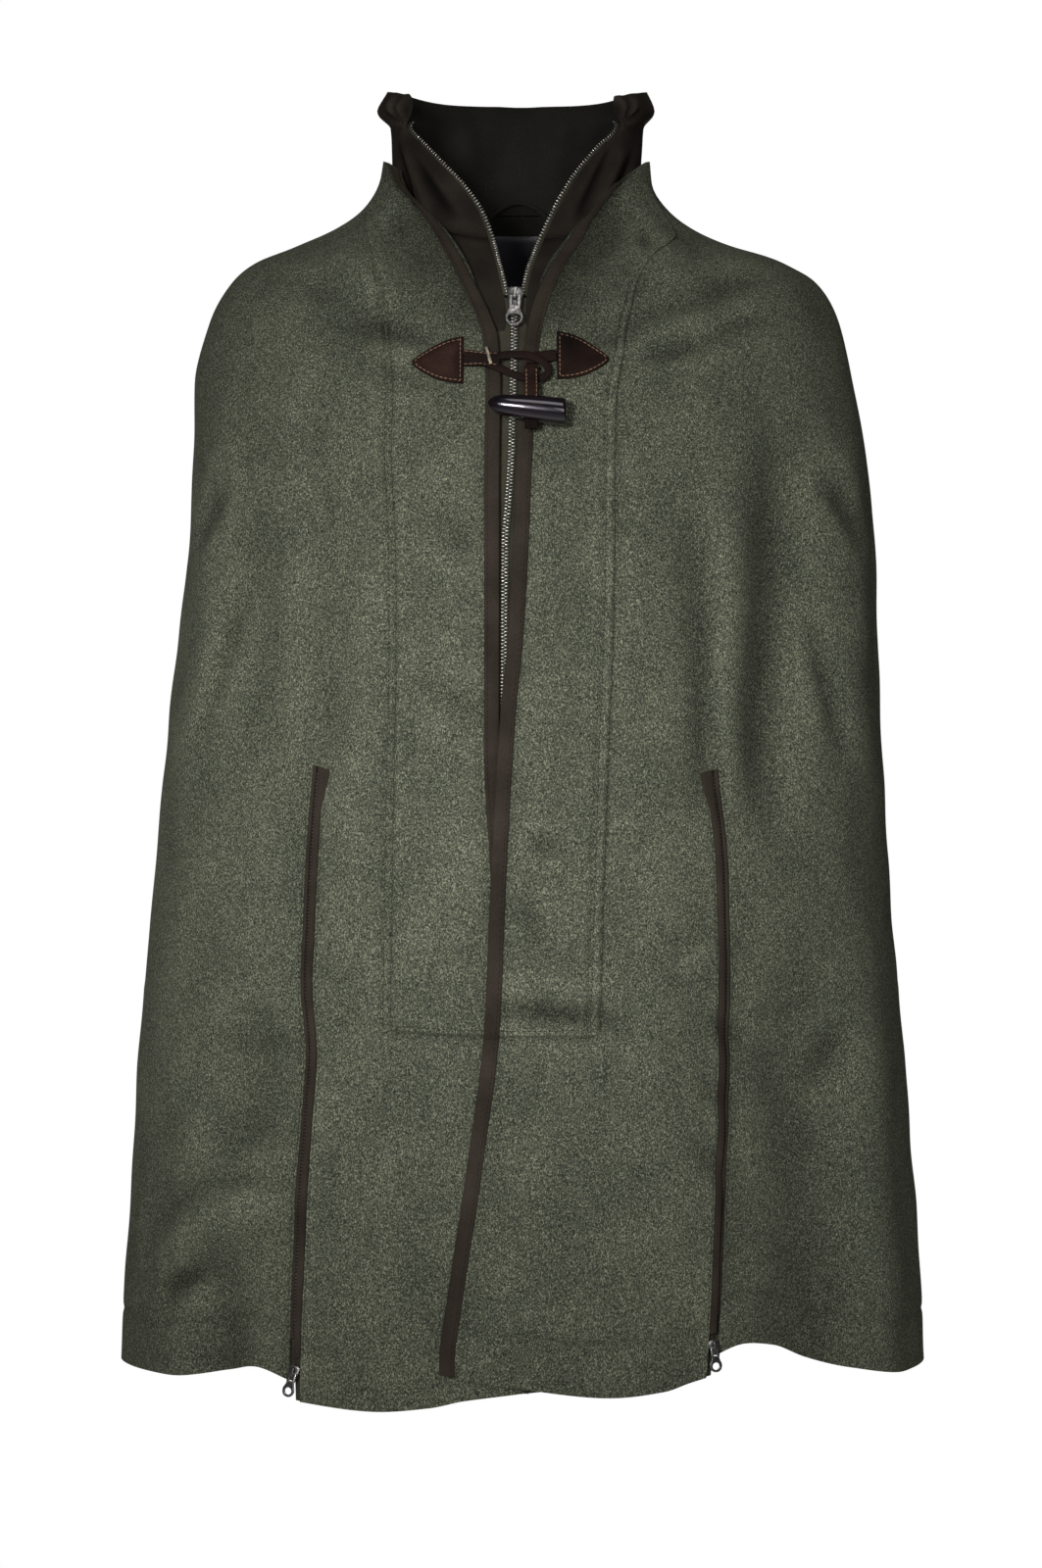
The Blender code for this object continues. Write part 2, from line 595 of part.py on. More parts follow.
def make_open_tape(side):
    """Zip tape with its row of teeth, from the collar corner down to the slider."""
    stations = collar.rows("zip_end", "seam")
    line = zip_line(side, collar, stations)
    distance = np.array([TAPE_WIDE - GAP, 2.2, 1.8, -1.0])
    high = np.array([-0.2, -0.2, 0.9, 0.9])[None, :, None]
    low = np.array([-1.2, -1.2, -2.1, -2.1])[None, :, None]
    bearings = bearing_across(collar, line[:, None] + SIGN[side] * distance, stations[:, None])
    grid_stations = stations[:, None] + 0 * bearings
    points = collar.point(bearings, grid_stations)
    normals = collar.outward(bearings, grid_stations)
    below, below_normals = throat(side, distance)
    points = np.concatenate([points[:-1], below[:-1]])
    normals = np.concatenate([normals[:-1], below_normals[:-1]])
    wall("zip_tape_" + side, points + normals * high, points + normals * low, ZIP_TAPE)


def make_chain():
    """Closed part of the zip with its tapes behind both fronts."""
    first, last = np.interp((CHAIN_TOP, CHAIN_END), -cape.columns["front_z"], cape.stations)
    stations = cape.rows("shoulder_in", "slit_top")
    stations = np.concatenate([[first], stations[(stations > first + 4) & (stations < last - 4)], [last]])
    middle = cape.bearing_of(CHAIN, stations)
    one = cape.degrees(1.0, middle, stations)
    step = TEETH_HALF + 0.3
    places = np.array([-CHAIN_TAPE, -step, -TEETH_HALF, TEETH_HALF, step, CHAIN_TAPE])
    bearings = middle[:, None] + one[:, None] * places
    behind = -(WOOL + BIB_RISE + 0.6)
    high = np.array([behind, behind, -1.5, -1.5, behind, behind])
    strip_on_front("zip_chain", "right", stations, bearings, behind - 0.7, high, ZIP_TAPE)


def make_neck_inside():
    """Band under the collar, hanger loop and black lining of the upper back."""
    stations = neck_band.rows("top", "bottom")
    bearings = np.linspace(132, 228, 11)[None, :] + 0 * stations[:, None]
    grid_stations = stations[:, None] + 0 * bearings
    outer = neck_band.point(bearings, grid_stations)
    normals = neck_band.outward(bearings, grid_stations)
    wall("neck_facing", outer, outer - normals * SUEDE, MICROFIBRE)

    stations = cape.rows("neck", "chest")
    stations[0] = np.interp(-4.6, -cape.columns["back_z"], cape.stations)
    stations = stations[(stations == stations[0]) | (stations > stations[0] + 3)]
    step = cape.degrees(GAP * 0.6, 91.0, stations)
    t = np.linspace(0, 1, 21)[3:18:2]
    bearings = (90 + step)[:, None] + (180 - 2 * step)[:, None] * t
    grid_stations = stations[:, None] + 0 * bearings
    outer, normals = back(bearings, grid_stations)
    outer = outer - normals * (WOOL + 0.5)
    wall("back_lining", outer, outer - normals * SATIN, BLACK_SATIN)


def make_hanger_loop():
    """Cord arched over the collar seam behind the neck."""
    path = []
    count = 10
    for i in range(count + 1):
        t = i / count
        height = LOOP_FOOT + LOOP_RISE * math.sin(math.pi * t) ** 0.7
        across = LOOP_SPAN[0] + (LOOP_SPAN[1] - LOOP_SPAN[0]) * t
        form, thick = (collar, COLLAR_WALL) if height >= 18 else (neck_band, SUEDE)
        station = np.interp(-height, -form.columns["back_z"], form.stations)
        bearing = 180 - bearing_across(form, across, station)
        inward = form.outward(bearing, station)
        path.append(form.point(bearing, station) - inward * (thick + 0.7 + LOOP_THICK))
    make_cord("hanger_loop", path, LOOP_THICK, MICROFIBRE)


def make_cord(name, path, radius, finish):
    """Round cord through a list of points."""
    path = np.array(path)
    along = np.gradient(path, axis=0)
    along = along / np.linalg.norm(along, axis=1, keepdims=True)
    rings = []
    for centre, way in zip(path, along):
        side = np.cross(way, (0, 1, 0))
        side = side / np.linalg.norm(side)
        other = np.cross(way, side)
        turns = [2 * math.pi * k / 8 for k in range(8)]
        rings.append([centre + radius * (math.cos(a) * side + math.sin(a) * other) for a in turns])
    return swept(name, rings, finish)


def make_patch(side):
    """Leather arrow patch, straight toward the zip and drawn out to a tip."""
    patch = PATCHES[side]
    along = np.linspace(0, 1, 11)
    shape = smooth_curve(PATCH_ARCH[0], PATCH_ARCH[1], along)
    across = patch.edge + (patch.tip - patch.edge) * along
    centre = patch.edge_z + (patch.tip_z - patch.edge_z) * along
    v = np.linspace(-1, 1, 5)
    height = centre[:, None] + patch.half * shape[:, None] * v
    points, normals = place_on_front(side, across[:, None] + 0 * height, height)
    top = points + normals * (LEATHER_LIFT + LEATHER)
    wall("patch_" + side, top, points + normals * LEATHER_LIFT, BROWN_LEATHER)


def make_strap(side):
    """Leather strap from a patch toward the zip."""
    strap = STRAPS[side]
    count = 6
    across = np.linspace(strap.start, strap.end, count)
    height = np.linspace(strap.start_z, strap.end_z, count)
    half = np.linspace(strap.start_half, strap.end_half, count)
    band_on_front("strap_" + side, across, height, half, STRAP_LIFT, LEATHER, BROWN_LEATHER)


def band_on_front(name, across, height, half, low, thick, finish):
    """Flat strap over the closed front through given places, at given distances over the cloth."""
    across = np.asarray(across, float)
    height = np.asarray(height, float)
    way = np.gradient(np.stack([across, height], 1), axis=0)
    way = way / np.linalg.norm(way, axis=1, keepdims=True)
    sides = np.stack([-way[:, 1], way[:, 0]], 1)
    half = np.broadcast_to(half, across.shape)
    low = np.broadcast_to(low, across.shape)[:, None, None]
    grid = []
    for v in (-1, 1):
        grid.append(np.stack([across + sides[:, 0] * half * v, height + sides[:, 1] * half * v], 1))
    grid = np.stack(grid, 1)
    points, normals = place_on_front("right", grid[..., 0], grid[..., 1])
    return wall(name, points + normals * (low + thick), points + normals * low, finish)


def make_keeper():
    """Metal ring round the strap."""
    rings = []
    corners = ((-1, 0), (1, 0), (1, 1), (-1, 1))
    for up, out in corners:
        ring = []
        for across, grow in ((-21.4, 0), (-19.2, 0), (-19.2, 1), (-21.4, 1)):
            height = -97.2 + up * (4.6 + 0.8 * grow)
            lift = (2.2 - 0.6 * grow) if out == 0 else (4.8 + 0.6 * grow)
            point, normal = place_on_front("right", across, height)
            ring.append(point + normal * lift)
        rings.append(ring)
    swept("keeper", rings, OLD_BRASS, closed=True)


def make_toggle_loop():
    """Leather loop that holds the tab."""
    rings = []
    for k in range(18):
        turn = 2 * math.pi * k / 18
        ring = []
        for reach, top in ((-2, 0), (2, 0), (2, 1), (-2, 1)):
            across = 4.2 + (15.6 + reach) * math.cos(turn)
            height = -101.0 - 3.0 * math.cos(turn) + (9.6 + reach) * math.sin(turn)
            point, normal = place_on_front("right", across, height)
            lift = STRAP_LIFT + 2.6 * float(ramp(across, -4, 9)) + LEATHER * top
            ring.append(point + normal * lift)
        rings.append(ring)
    swept("toggle_loop", rings, BROWN_LEATHER, closed=True)


def make_tab():
    """Leather tab from the loop down through the horn."""
    height = np.array([-98.8, -100.5, -103, -107, -112, -118, -122, -128, -138, -147])
    low = np.array([4.8, 4.9, 5.6, 7.4, 8.2, 10.6, 11.8, HORN_LIFT, HORN_LIFT, HORN_LIFT])
    across = np.full(len(height), TAB_X)
    band_on_front("toggle_tab", across, height, 4.2, low, LEATHER, BROWN_LEATHER)


def make_horn():
    """Horn toggle: flat cut thick end, rounded tip, with the slot for its leather tab."""
    seat, normal = place_on_front("right", TAB_X, HORN_Z)
    centre = seat + normal * (HORN_LIFT + LEATHER / 2)
    rings = []
    sides = 12
    for across, radius in HORN:
        height = centre[2] + HORN_TILT * (TAB_X - across) / HORN_LONG
        ring = []
        for k in range(sides):
            turn = 2 * math.pi * k / sides
            ring.append((across, centre[1] + radius * math.cos(turn), height + radius * math.sin(turn)))
        rings.append(ring)
    toggle = swept("toggle_horn", rings, DARK_HORN)
    lean = math.atan2(normal[2], -normal[1])
    cut_away(toggle, box("slot", centre, (9.6, 3.2, 40), Matrix.Rotation(-lean, 3, "X")))


def box(name, centre, size, turn):
    """Plain block used as a cutter or joined to a part."""
    corners = []
    for x in (-0.5, 0.5):
        for y in (-0.5, 0.5):
            for z in (-0.5, 0.5):
                corner = turn @ Vector((x * size[0], y * size[1], z * size[2]))
                corners.append(np.array(centre) + np.array(corner))
    faces = [(0, 1, 3, 2), (4, 6, 7, 5), (0, 4, 5, 1), (2, 3, 7, 6), (0, 2, 6, 4), (1, 5, 7, 3)]
    return add_object(name, np.array(corners), faces, DARK_HORN)


def apply_boolean(part, tool, operation):
    """Cut or join one solid with another, and drop the tool."""
    change = part.modifiers.new("change", "BOOLEAN")
    change.operation = operation
    change.solver = "EXACT"
    change.object = tool
    bpy.context.view_layer.update()
    result = bpy.data.meshes.new_from_object(part.evaluated_get(bpy.context.evaluated_depsgraph_get()))
    part.modifiers.clear()
    part.data = result
    bpy.data.objects.remove(tool)


def cut_away(part, tool):
    """Take a tool's shape out of a part."""
    apply_boolean(part, tool, "DIFFERENCE")


def flat_plate(name, outlines, low, high, frame, finish):
    """Plate from an outline with holes, in a frame of across, along and out."""
    curve = bpy.data.curves.new(name, "CURVE")
    curve.dimensions = "2D"
    curve.fill_mode = "BOTH"
    curve.extrude = (high - low) / 2 * MM
    for outline in outlines:
        spline = curve.splines.new("POLY")
        spline.points.add(len(outline) - 1)
        spline.use_cyclic_u = True
        for point, (across, along) in zip(spline.points, outline):
            point.co = (across * MM, along * MM, 0, 1)
    shape = bpy.data.objects.new(name + "_curve", curve)
    bpy.context.collection.objects.link(shape)
    bpy.context.view_layer.update()
    mesh = bpy.data.meshes.new_from_object(shape.evaluated_get(bpy.context.evaluated_depsgraph_get()))
    bpy.data.objects.remove(shape)
    work = bmesh.new()
    work.from_mesh(mesh)
    bmesh.ops.remove_doubles(work, verts=work.verts, dist=1e-6)
    place, across, along, out = frame
    for vertex in work.verts:
        x, y, z = vertex.co
        point = Vector(place) * MM + Vector(across) * x + Vector(along) * y
        vertex.co = point + Vector(out) * (z + (low + high) / 2 * MM)
    bmesh.ops.triangulate(work, faces=work.faces)
    bmesh.ops.recalc_face_normals(work, faces=work.faces)
    work.to_mesh(mesh)
    work.free()
    mesh.name = name
    mesh.materials.clear()
    mesh.materials.append(paint(name, finish))
    part = bpy.data.objects.new(name, mesh)
    bpy.context.collection.objects.link(part)
    return part


def mirrored(half_outline):
    """Closed outline from its right half, given from top to bottom."""
    return half_outline + [(-x, y) for x, y in reversed(half_outline) if x > 0]


def scaled(outline, scale):
    """Outline at another size."""
    return [(x * scale, y * scale) for x, y in outline]


def make_slider(name, frame, scale):
    """Slider with its bridge, and the pull tab that hangs from the bridge."""
    place, across, along, out = frame
    body = scaled(mirrored(SLIDER_RIM), scale)
    slider = flat_plate(name + "_slider", [body], SLIDER_BELOW, 2.2 * scale, frame, OLD_BRASS)
    side_frame = (place, along, out, across)
    bridge = flat_plate("bridge", [scaled(BRIDGE, scale)], -1.2 * scale, 1.2 * scale, side_frame, OLD_BRASS)
    apply_boolean(slider, bridge, "UNION")
    centre, radius = PULL_EYE
    turns = [2 * math.pi * k / 14 for k in range(14)]
    eye = [(radius * math.sin(a), centre + radius * math.cos(a)) for a in turns]
    outlines = [scaled(outline, scale) for outline in (mirrored(PULL_RIM), mirrored(PULL_SLOT), eye)]
    low, high = (face * scale for face in PULL_FACES)
    pull = flat_plate(name + "_pull", outlines, low, high, frame, OLD_BRASS)
    set_origin(pull, np.array(place) + np.array(out) * PULL_HINGE * scale)


def set_origin(part, place):
    """Move an object's origin to a place, without moving its shape."""
    origin = Vector(place) * MM
    part.data.transform(Matrix.Translation(-origin))
    part.location = origin


def frame_at(place, out, along):
    """Right-angled frame from a place, an outward direction and a direction down the zip."""
    out = np.array(out) / np.linalg.norm(out)
    along = np.array(along) - out * np.dot(along, out)
    along = along / np.linalg.norm(along)
    return place, np.cross(out, along), along, out


def main_slider_frame():
    """Frame of the main slider on the chain line."""
    station = np.interp(56.5, -cape.columns["front_z"], cape.stations)
    bearing = cape.bearing_of(CHAIN, station)
    ahead = cape.point(bearing, station + 5) - cape.point(bearing, station - 5)
    return frame_at(cape.point(bearing, station), cape.outward(bearing, station), ahead)


def arm_slider_frame(side):
    """Frame of an arm zip's slider near the hem, turned a little as it hangs."""
    station = cape.station("hem") - 11.5
    sign = SIGN[side]
    places = []
    for row in (station - 8, station, station + 8):
        slit = cape.bearing_of(LINES["slit", side], row)
        one = cape.degrees(1.0, slit, row) * sign
        ends = [front(side, slit + one * d, row) for d in (-1.3 - 2.5, -1.3 + 2.5)]
        places.append(((ends[0][0] + ends[1][0]) / 2, (ends[0][1] + ends[1][1]) / 2))
    lean = Matrix.Rotation(math.radians(ARM_PULL_LEAN[side]), 3, Vector(places[1][1]))
    along = np.array(lean @ Vector(places[2][0] - places[0][0]))
    return frame_at(places[1][0], places[1][1], along)


clear_scene()
make_back()
make_inner_collar()
make_neck_inside()
make_hanger_loop()
make_chain()
for side in ("right", "left"):
    make_front(side)
    make_facing(side)
    make_binding(side)
    make_open_tape(side)
    make_arm_zip(side)
    make_slider("slit_" + side, arm_slider_frame(side), ARM_PULL_SIZE)
    make_patch(side)
    make_strap(side)
make_slider("zip", main_slider_frame(), 1.0)
make_keeper()
make_toggle_loop()
make_tab()
make_horn()
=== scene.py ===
# %% [markdown]
# # Loden cape with a horn toggle
#
# The real object is a hip-length cape of green-grey loden wool. It hangs open at the neck and hem, as
# if a body were inside. A brown funnel collar stands inside a lower wool collar, a long metal zip runs
# down the front, and a horn toggle on leather closes the chest. Two arm slits have zips of their own.
#
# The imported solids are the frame. Each soft piece is worked out again on the same rings as its solid,
# much finer, so it keeps the solid's size and place. That is why the tables below are in millimetres
# and use the same words as the pattern: rings, bearings and stations.

# %% Load the frame
import math
from collections import namedtuple

import bmesh
import bpy
import numpy as np
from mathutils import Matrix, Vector, noise


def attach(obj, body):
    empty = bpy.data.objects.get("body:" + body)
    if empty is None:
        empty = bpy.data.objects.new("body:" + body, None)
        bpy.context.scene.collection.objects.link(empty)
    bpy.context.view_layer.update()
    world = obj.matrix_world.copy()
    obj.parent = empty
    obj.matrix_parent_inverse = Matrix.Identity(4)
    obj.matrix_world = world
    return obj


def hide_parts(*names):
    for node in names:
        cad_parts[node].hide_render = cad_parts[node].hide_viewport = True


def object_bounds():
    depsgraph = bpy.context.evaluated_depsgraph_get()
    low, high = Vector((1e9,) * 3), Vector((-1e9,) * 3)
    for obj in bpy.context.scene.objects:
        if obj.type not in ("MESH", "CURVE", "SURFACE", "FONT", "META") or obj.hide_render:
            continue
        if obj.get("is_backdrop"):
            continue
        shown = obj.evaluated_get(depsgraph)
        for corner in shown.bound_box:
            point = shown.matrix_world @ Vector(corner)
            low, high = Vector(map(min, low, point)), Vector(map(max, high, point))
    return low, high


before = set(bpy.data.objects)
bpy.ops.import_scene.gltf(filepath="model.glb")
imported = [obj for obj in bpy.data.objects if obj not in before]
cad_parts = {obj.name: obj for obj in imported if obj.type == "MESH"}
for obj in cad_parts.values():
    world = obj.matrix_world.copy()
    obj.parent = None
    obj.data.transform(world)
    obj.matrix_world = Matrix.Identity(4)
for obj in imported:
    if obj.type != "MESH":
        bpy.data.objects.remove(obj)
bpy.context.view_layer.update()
bpy.ops.object.select_all(action="DESELECT")
MM = 0.001

# %% [markdown]
# ## The rings of the cape
#
# A cape could be draped by a cloth simulation over a dress form, but then its outline would be an
# accident. Here each ring is a row of a table: half widths, depths and heights, read off as a tailor
# reads a pattern. A bearing of 0 is centre front, 90 is the wearer's left side and 180 is the back.

# %% Sizes of the cloth
GAP = 0.3            # air between a trim and the edge beside it
WOOL = 2.2           # wall of the loden
HEM_WOOL = 3.6       # the same wall where the hem is turned up
COLLAR_WALL = 1.6    # brown collar, two layers
SUEDE = 1.0          # brown trim
SATIN = 0.9          # lining
LEATHER = 2.0        # patches and straps of the toggle
TAPE_WIDE = 6.0      # zip tape beside the teeth
BINDING_WIDE = 9.0
SLIT_FRONT = 5.8     # wool edge to the closing line of an arm slit, front side
SLIT_BACK = 3.2      # the same, back side
BIB_RISE = 1.5       # the doubled centre front stands this far off the plain front
LAP_OUT = 3.0        # the left front rides this far out where the fronts cross
LAP_IN = 3.6         # the right front lies this far in
TUCK = 3.0           # the cloth behind an arm slit lies this far in at the hem
ARC = 3.4            # mm round the body for one degree of bearing
SIGN = {"right": -1, "left": 1}

Section = namedtuple("Section", "name right left side_z front front_z back back_z")
CAPE = [
    Section("collar_top", 91, 85, 45, 62, 2, 70, 50),
    Section("collar_mid", 95, 87, 30, 66, -10, 72, 32),
    Section("neck", 105, 97, 14, 74, -22, 75, 12),
    Section("neck_slope", 124, 114, 0, 85, -38, 80, -12),
    Section("shoulder_in", 149, 140, -12, 94, -57, 88, -36),
    Section("shoulder_mid", 175, 174, -22, 103, -80, 98, -60),
    Section("shoulder_out", 190, 195, -34, 111, -104, 107, -86),
    Section("shoulder_tip", 206, 211, -62, 120, -140, 116, -122),
    Section("upper_arm", 216, 220, -102, 129, -182, 125, -168),
    Section("chest", 217, 229, -152, 135, -228, 131, -218),
    Section("elbow", 222, 235, -228, 140, -292, 135, -288),
    Section("slit_top", 233, 238, -320, 144, -372, 140, -368),
    Section("bib_end", 249, 249, -496, 151, -524, 148, -524),
    Section("below_bib", 250, 250, -503, 151, -530, 148, -530),
    Section("thigh", 258, 260, -630, 156, -640, 156, -640),
    Section("hem_line", 263, 266, -713, 160, -718, 163, -718),
    Section("hem", 264, 267, -746, 162, -752, 165, -752),
]
COLLAR = [
    Section("top", 88, 83, 89.5, 55, 74, 66, 93),
    Section("roll", 95, 88, 77, 55, 76, 65, 84),
    Section("zip_end", 86, 81, 66, 52, 63, 64, 73),
    Section("middle", 85, 79, 45, 56, 32, 63, 50),
    Section("low", 88, 81, 26, 60, 6, 64, 30),
    Section("seam", 97, 89, 12, 64, -16, 66, 19),
]
NECK_BAND = [
    Section("top", 97, 89, 11.6, 64, -16, 66, 18.6),
    Section("bottom", 104, 96, 0, 70, -30, 72.4, 6.5),
]
print("rings:", len(CAPE), "cape,", len(COLLAR), "collar")

# %% [markdown]
# ## Lines on the fronts
#
# The edges, the stitched lines beside the doubled bib and the arm slits each wander a little round the
# body on their way down. A line is a list of heights with the bearing it has there. The zip is given
# by its distance across, because it is read from straight ahead.

# %% Edges, stitched lines, slits, zip and hem
LINES = {
    ("edge", "right"): [(40, -64), (32, -60.5), (21.6, -54), (8.2, -42.4), (-5.3, -32.6), (-22.5, -22.9),
                        (-39, -15.4), (-56, -9.9), (-70, -6.8), (-83, -5), (-119, -3.9), (-343, -3.6),
                        (-420, -2.5), (-600, 0.5), (-760, 2.5)],
    ("edge", "left"): [(30, 56), (24, 46), (5.6, 32.4), (-18, 18.8), (-32.5, 11.5), (-48, 6), (-64, 2.9),
                       (-77, 1.6), (-93, 0.7), (-119, 0), (-219, -1.2), (-281, -2.1), (-318, -3),
                       (-422, -4.3), (-518, -5.1), (-612, -7.4), (-737, -10.9)],
    ("stitch", "right"): [(44, -81), (14, -74), (1, -64), (-26, -45), (-52, -33), (-86, -26.6),
                          (-131, -23.2), (-243, -21.2), (-519, -19.4), (-760, -18.5)],
    ("stitch", "left"): [(44, 78), (14, 71), (-8, 62), (-30, 40.6), (-53, 28.7), (-80, 21.5),
                         (-131, 16.7), (-244, 14.7), (-520, 11.4), (-760, 9.5)],
    ("slit", "right"): [(44, -86), (14, -82), (-10, -72), (-50, -50), (-120, -38), (-358, -34.2),
                        (-482, -34), (-543, -32.5), (-602, -33), (-760, -33.4)],
    ("slit", "left"): [(44, 84), (14, 80), (-10, 71), (-50, 48), (-120, 36), (-352, 31), (-429, 32),
                       (-552, 31), (-653, 28.9), (-760, 26.9)],
}
CHAIN = [(-60, -1.5), (-87, -1.4), (-150, -1.6), (-182, -2), (-219, -2.7), (-350, -2.75)]
ZIP_EDGE = {
    "right": [(90, -76), (86, -73), (82, -68), (74, -68), (64, -72.5), (52, -63.5), (39, -52), (21, -36),
              (3, -24.3), (-19, -16.4), (-38, -11.6), (-50, -9), (-66, -6.5), (-90, -6.5)],
    "left": [(90, 66), (86, 63), (82, 57.5), (74, 57.5), (64, 62.5), (47, 48.5), (30, 35.2), (14, 25.4),
             (-2, 17.4), (-20, 9.4), (-38, 3), (-50, 1), (-66, -0.5), (-90, -0.5)],
}
HEM_RISE = {
    ("right", "front"): [(-150, -4.5), (-94, -8.5), (-58, -5), (-36, 0), (10, 6)],
    ("left", "front"): [(-52, 17), (2, 8), (60, 2), (90, 4.5), (105, 9), (125, 14)],
    ("right", "side"): [(-264, 0), (-226, 1), (-194, 8.5), (-171, 13.5), (-145, 6.5)],
    ("left", "side"): [(115, 22), (143, 31), (166, 27.5), (190, 17), (214, 8), (248, 0), (267, 0)],
}
print("lines:", len(LINES), "on the fronts")

# %% [markdown]
# ## Folds and creases
#
# Loden is thick, so it makes few, soft folds. The large ones hang from the shoulders and elbows and are
# the same as in the solids. The creases are the small ones a tailor sees last: drag lines at the dart,
# puckers along the stitching, dents where the fronts cross. Each is a line on the cloth with a half
# width and a depth, so moving one is a matter of changing a row.

# %% Tables of folds and creases
Fold = namedtuple("Fold", "name top_bearing top_z low_bearing low_z width depth")
FOLDS = [
    Fold("drag_right_upper", -60, -30, -20, -92, 26, -3.5),
    Fold("drag_right_lower", -44, -60, -17, -124, 22, -3),
    Fold("arm_hollow_right", -35, -120, -31, -400, 22, -5),
    Fold("arm_hollow_outer", -50, -170, -41, -420, 26, -5),
    Fold("front_swell_right", -27, -180, -26, -560, 18, 4),
    Fold("elbow_swell_right", -66, -90, -62, -420, 34, 5),
    Fold("side_hollow_right", -44, -500, -42, -620, 30, -9),
    Fold("side_buckle_right", -58, -690, -38, -620, 24, 7),
    Fold("hem_hollow_right", -47, -640, -46, -900, 26, -10),
    Fold("drag_left_upper", 62, -30, 26, -74, 24, -3.5),
    Fold("drag_left_lower", 56, -58, 20, -104, 22, -3),
    Fold("arm_hollow_left", 49, -110, 38, -430, 24, -13),
    Fold("arm_hollow_inner", 28, -170, 30, -400, 13, -6),
    Fold("arm_swell_left", 36, -160, 34, -420, 14, 4),
    Fold("elbow_swell_left", 66, -80, 64, -420, 30, 6),
    Fold("side_hollow_left", 43, -440, 45, -900, 32, -13),
    Fold("side_swell_left", 62, -420, 60, -900, 30, 6),
    Fold("bib_hollow_left", 13, -130, 6, -400, 16, -3),
    Fold("bib_swell_right", -12, -120, -12, -700, 20, 3),
    Fold("front_swell_left", 21, -300, 18, -760, 22, 4),
    Fold("back_fold_a", 112, -200, 114, -900, 34, -10),
    Fold("back_fold_b", 138, -230, 140, -900, 36, 9),
    Fold("back_fold_c", 166, -260, 162, -900, 34, -9),
    Fold("back_fold_d", 191, -240, 196, -900, 36, 9),
    Fold("back_fold_e", 220, -220, 222, -900, 34, -10),
    Fold("back_fold_f", 246, -200, 244, -900, 34, 8),
]
CREASES = [
    Fold("dart", 51, -8, 42, -24, 3.5, -2.6),
    Fold("dart_drag", 40, -30, 26, -58, 9, -1.6),
    Fold("neck_roll_right", -54, 4, -24, -42, 11, -3.8),
    Fold("neck_swell_right", -62, -12, -29, -58, 11, 2.6),
    Fold("neck_roll_left", 50, 6, 19, -36, 11, -3.8),
    Fold("neck_swell_left", 58, -10, 27, -52, 11, 2.6),
    Fold("bib_drag_right", -34, -66, -14, -96, 9, -2.0),
    Fold("bib_drag_left", 30, -66, 12, -92, 9, -2.0),
    Fold("chest_dent_right", -18, -186, -8, -222, 11, -1.6),
    Fold("chest_swell_right", -17, -214, -7, -250, 11, 1.4),
    Fold("waist_dent_right", -16, -300, -5, -326, 11, -1.8),
    Fold("waist_swell_right", -15, -326, -5, -352, 10, 1.4),
    Fold("edge_pucker_a", 2, -398, 5, -412, 7, -2.2),
    Fold("edge_pucker_b", 0, -438, 3, -470, 7, -2.0),
    Fold("lap_smile", -4, -508, 15, -516, 8, -2.8),
    Fold("lap_smile_lip", -2, -492, 12, -494, 9, 2.0),
    Fold("lap_light", 30, -470, 24, -486, 9, 2.2),
    Fold("slit_drag_a", 29, -512, 33, -534, 7, -1.8),
    Fold("slit_drag_b", 27, -552, 32, -580, 8, -1.8),
    Fold("slit_drag_c", 26, -596, 31, -628, 8, -1.6),
    Fold("hem_shine", -4, -668, 6, -716, 22, 2.2),
    Fold("side_lip_right", -63, -672, -46, -630, 12, 3.4),
    Fold("side_under_right", -62, -700, -48, -662, 12, -3.4),
    Fold("elbow_crease_left", 58, -170, 70, -212, 12, -3.0),
    Fold("elbow_crease_right", -60, -176, -72, -214, 12, -3.0),
    Fold("arm_line_left", 52, -260, 60, -352, 10, -2.4),
    Fold("arm_line_right", -54, -240, -60, -340, 11, -2.2),
    Fold("hip_crease_left", 56, -520, 48, -560, 12, -2.6),
    Fold("shoulder_crease_back_left", 118, -70, 132, -120, 24, -1.6),
    Fold("shoulder_crease_back_right", 242, -72, 228, -122, 24, -1.6),
    Fold("blade_crease_left", 140, -150, 158, -186, 24, -1.3),
    Fold("blade_crease_right", 222, -160, 204, -200, 24, -1.3),
    Fold("back_drag_low", 176, -470, 196, -520, 26, -1.4),
    Fold("back_drag_left", 128, -520, 146, -556, 26, -1.4),
    Fold("back_drag_right", 236, -560, 216, -600, 26, -1.4),
]
print("folds:", len(FOLDS), "large,", len(CREASES), "small")

# %% [markdown]
# ## From table to surface
#
# A spline through the rings would swing past a row where two rings are close, and cloth would bulge.
# The curve below never does: its slope is zero at every high and low point. The form then turns a
# bearing and a station, the distance down the cloth, into a point.

# %% Smooth curves and the form
def smooth_curve(stations, values, at):
    """Smooth curve through the rows of a table that never swings past a row."""
    stations = np.asarray(stations, float)
    values = np.asarray(values, float)
    at = np.asarray(at, float)
    length = np.diff(stations)
    slope = np.diff(values) / length
    product = slope[:-1] * slope[1:]
    total = np.where(product > 0, slope[:-1] + slope[1:], 1)
    tangent = np.concatenate([slope[:1], np.where(product > 0, 2 * product / total, 0), slope[-1:]])
    i = np.clip(np.searchsorted(stations, at, side="right") - 1, 0, len(length) - 1)
    t = np.clip((at - stations[i]) / length[i], 0, 1)
    rise = (1 + 2 * t) * (1 - t) ** 2 * values[i] + t * t * (3 - 2 * t) * values[i + 1]
    bend = t * (1 - t) ** 2 * tangent[i] + t * t * (t - 1) * tangent[i + 1]
    return rise + bend * length[i]


def ramp(value, start, end):
    """Ease from 0 at start to 1 at end."""
    t = np.clip((np.asarray(value, float) - start) / (end - start), 0, 1)
    return t * t * (3 - 2 * t)


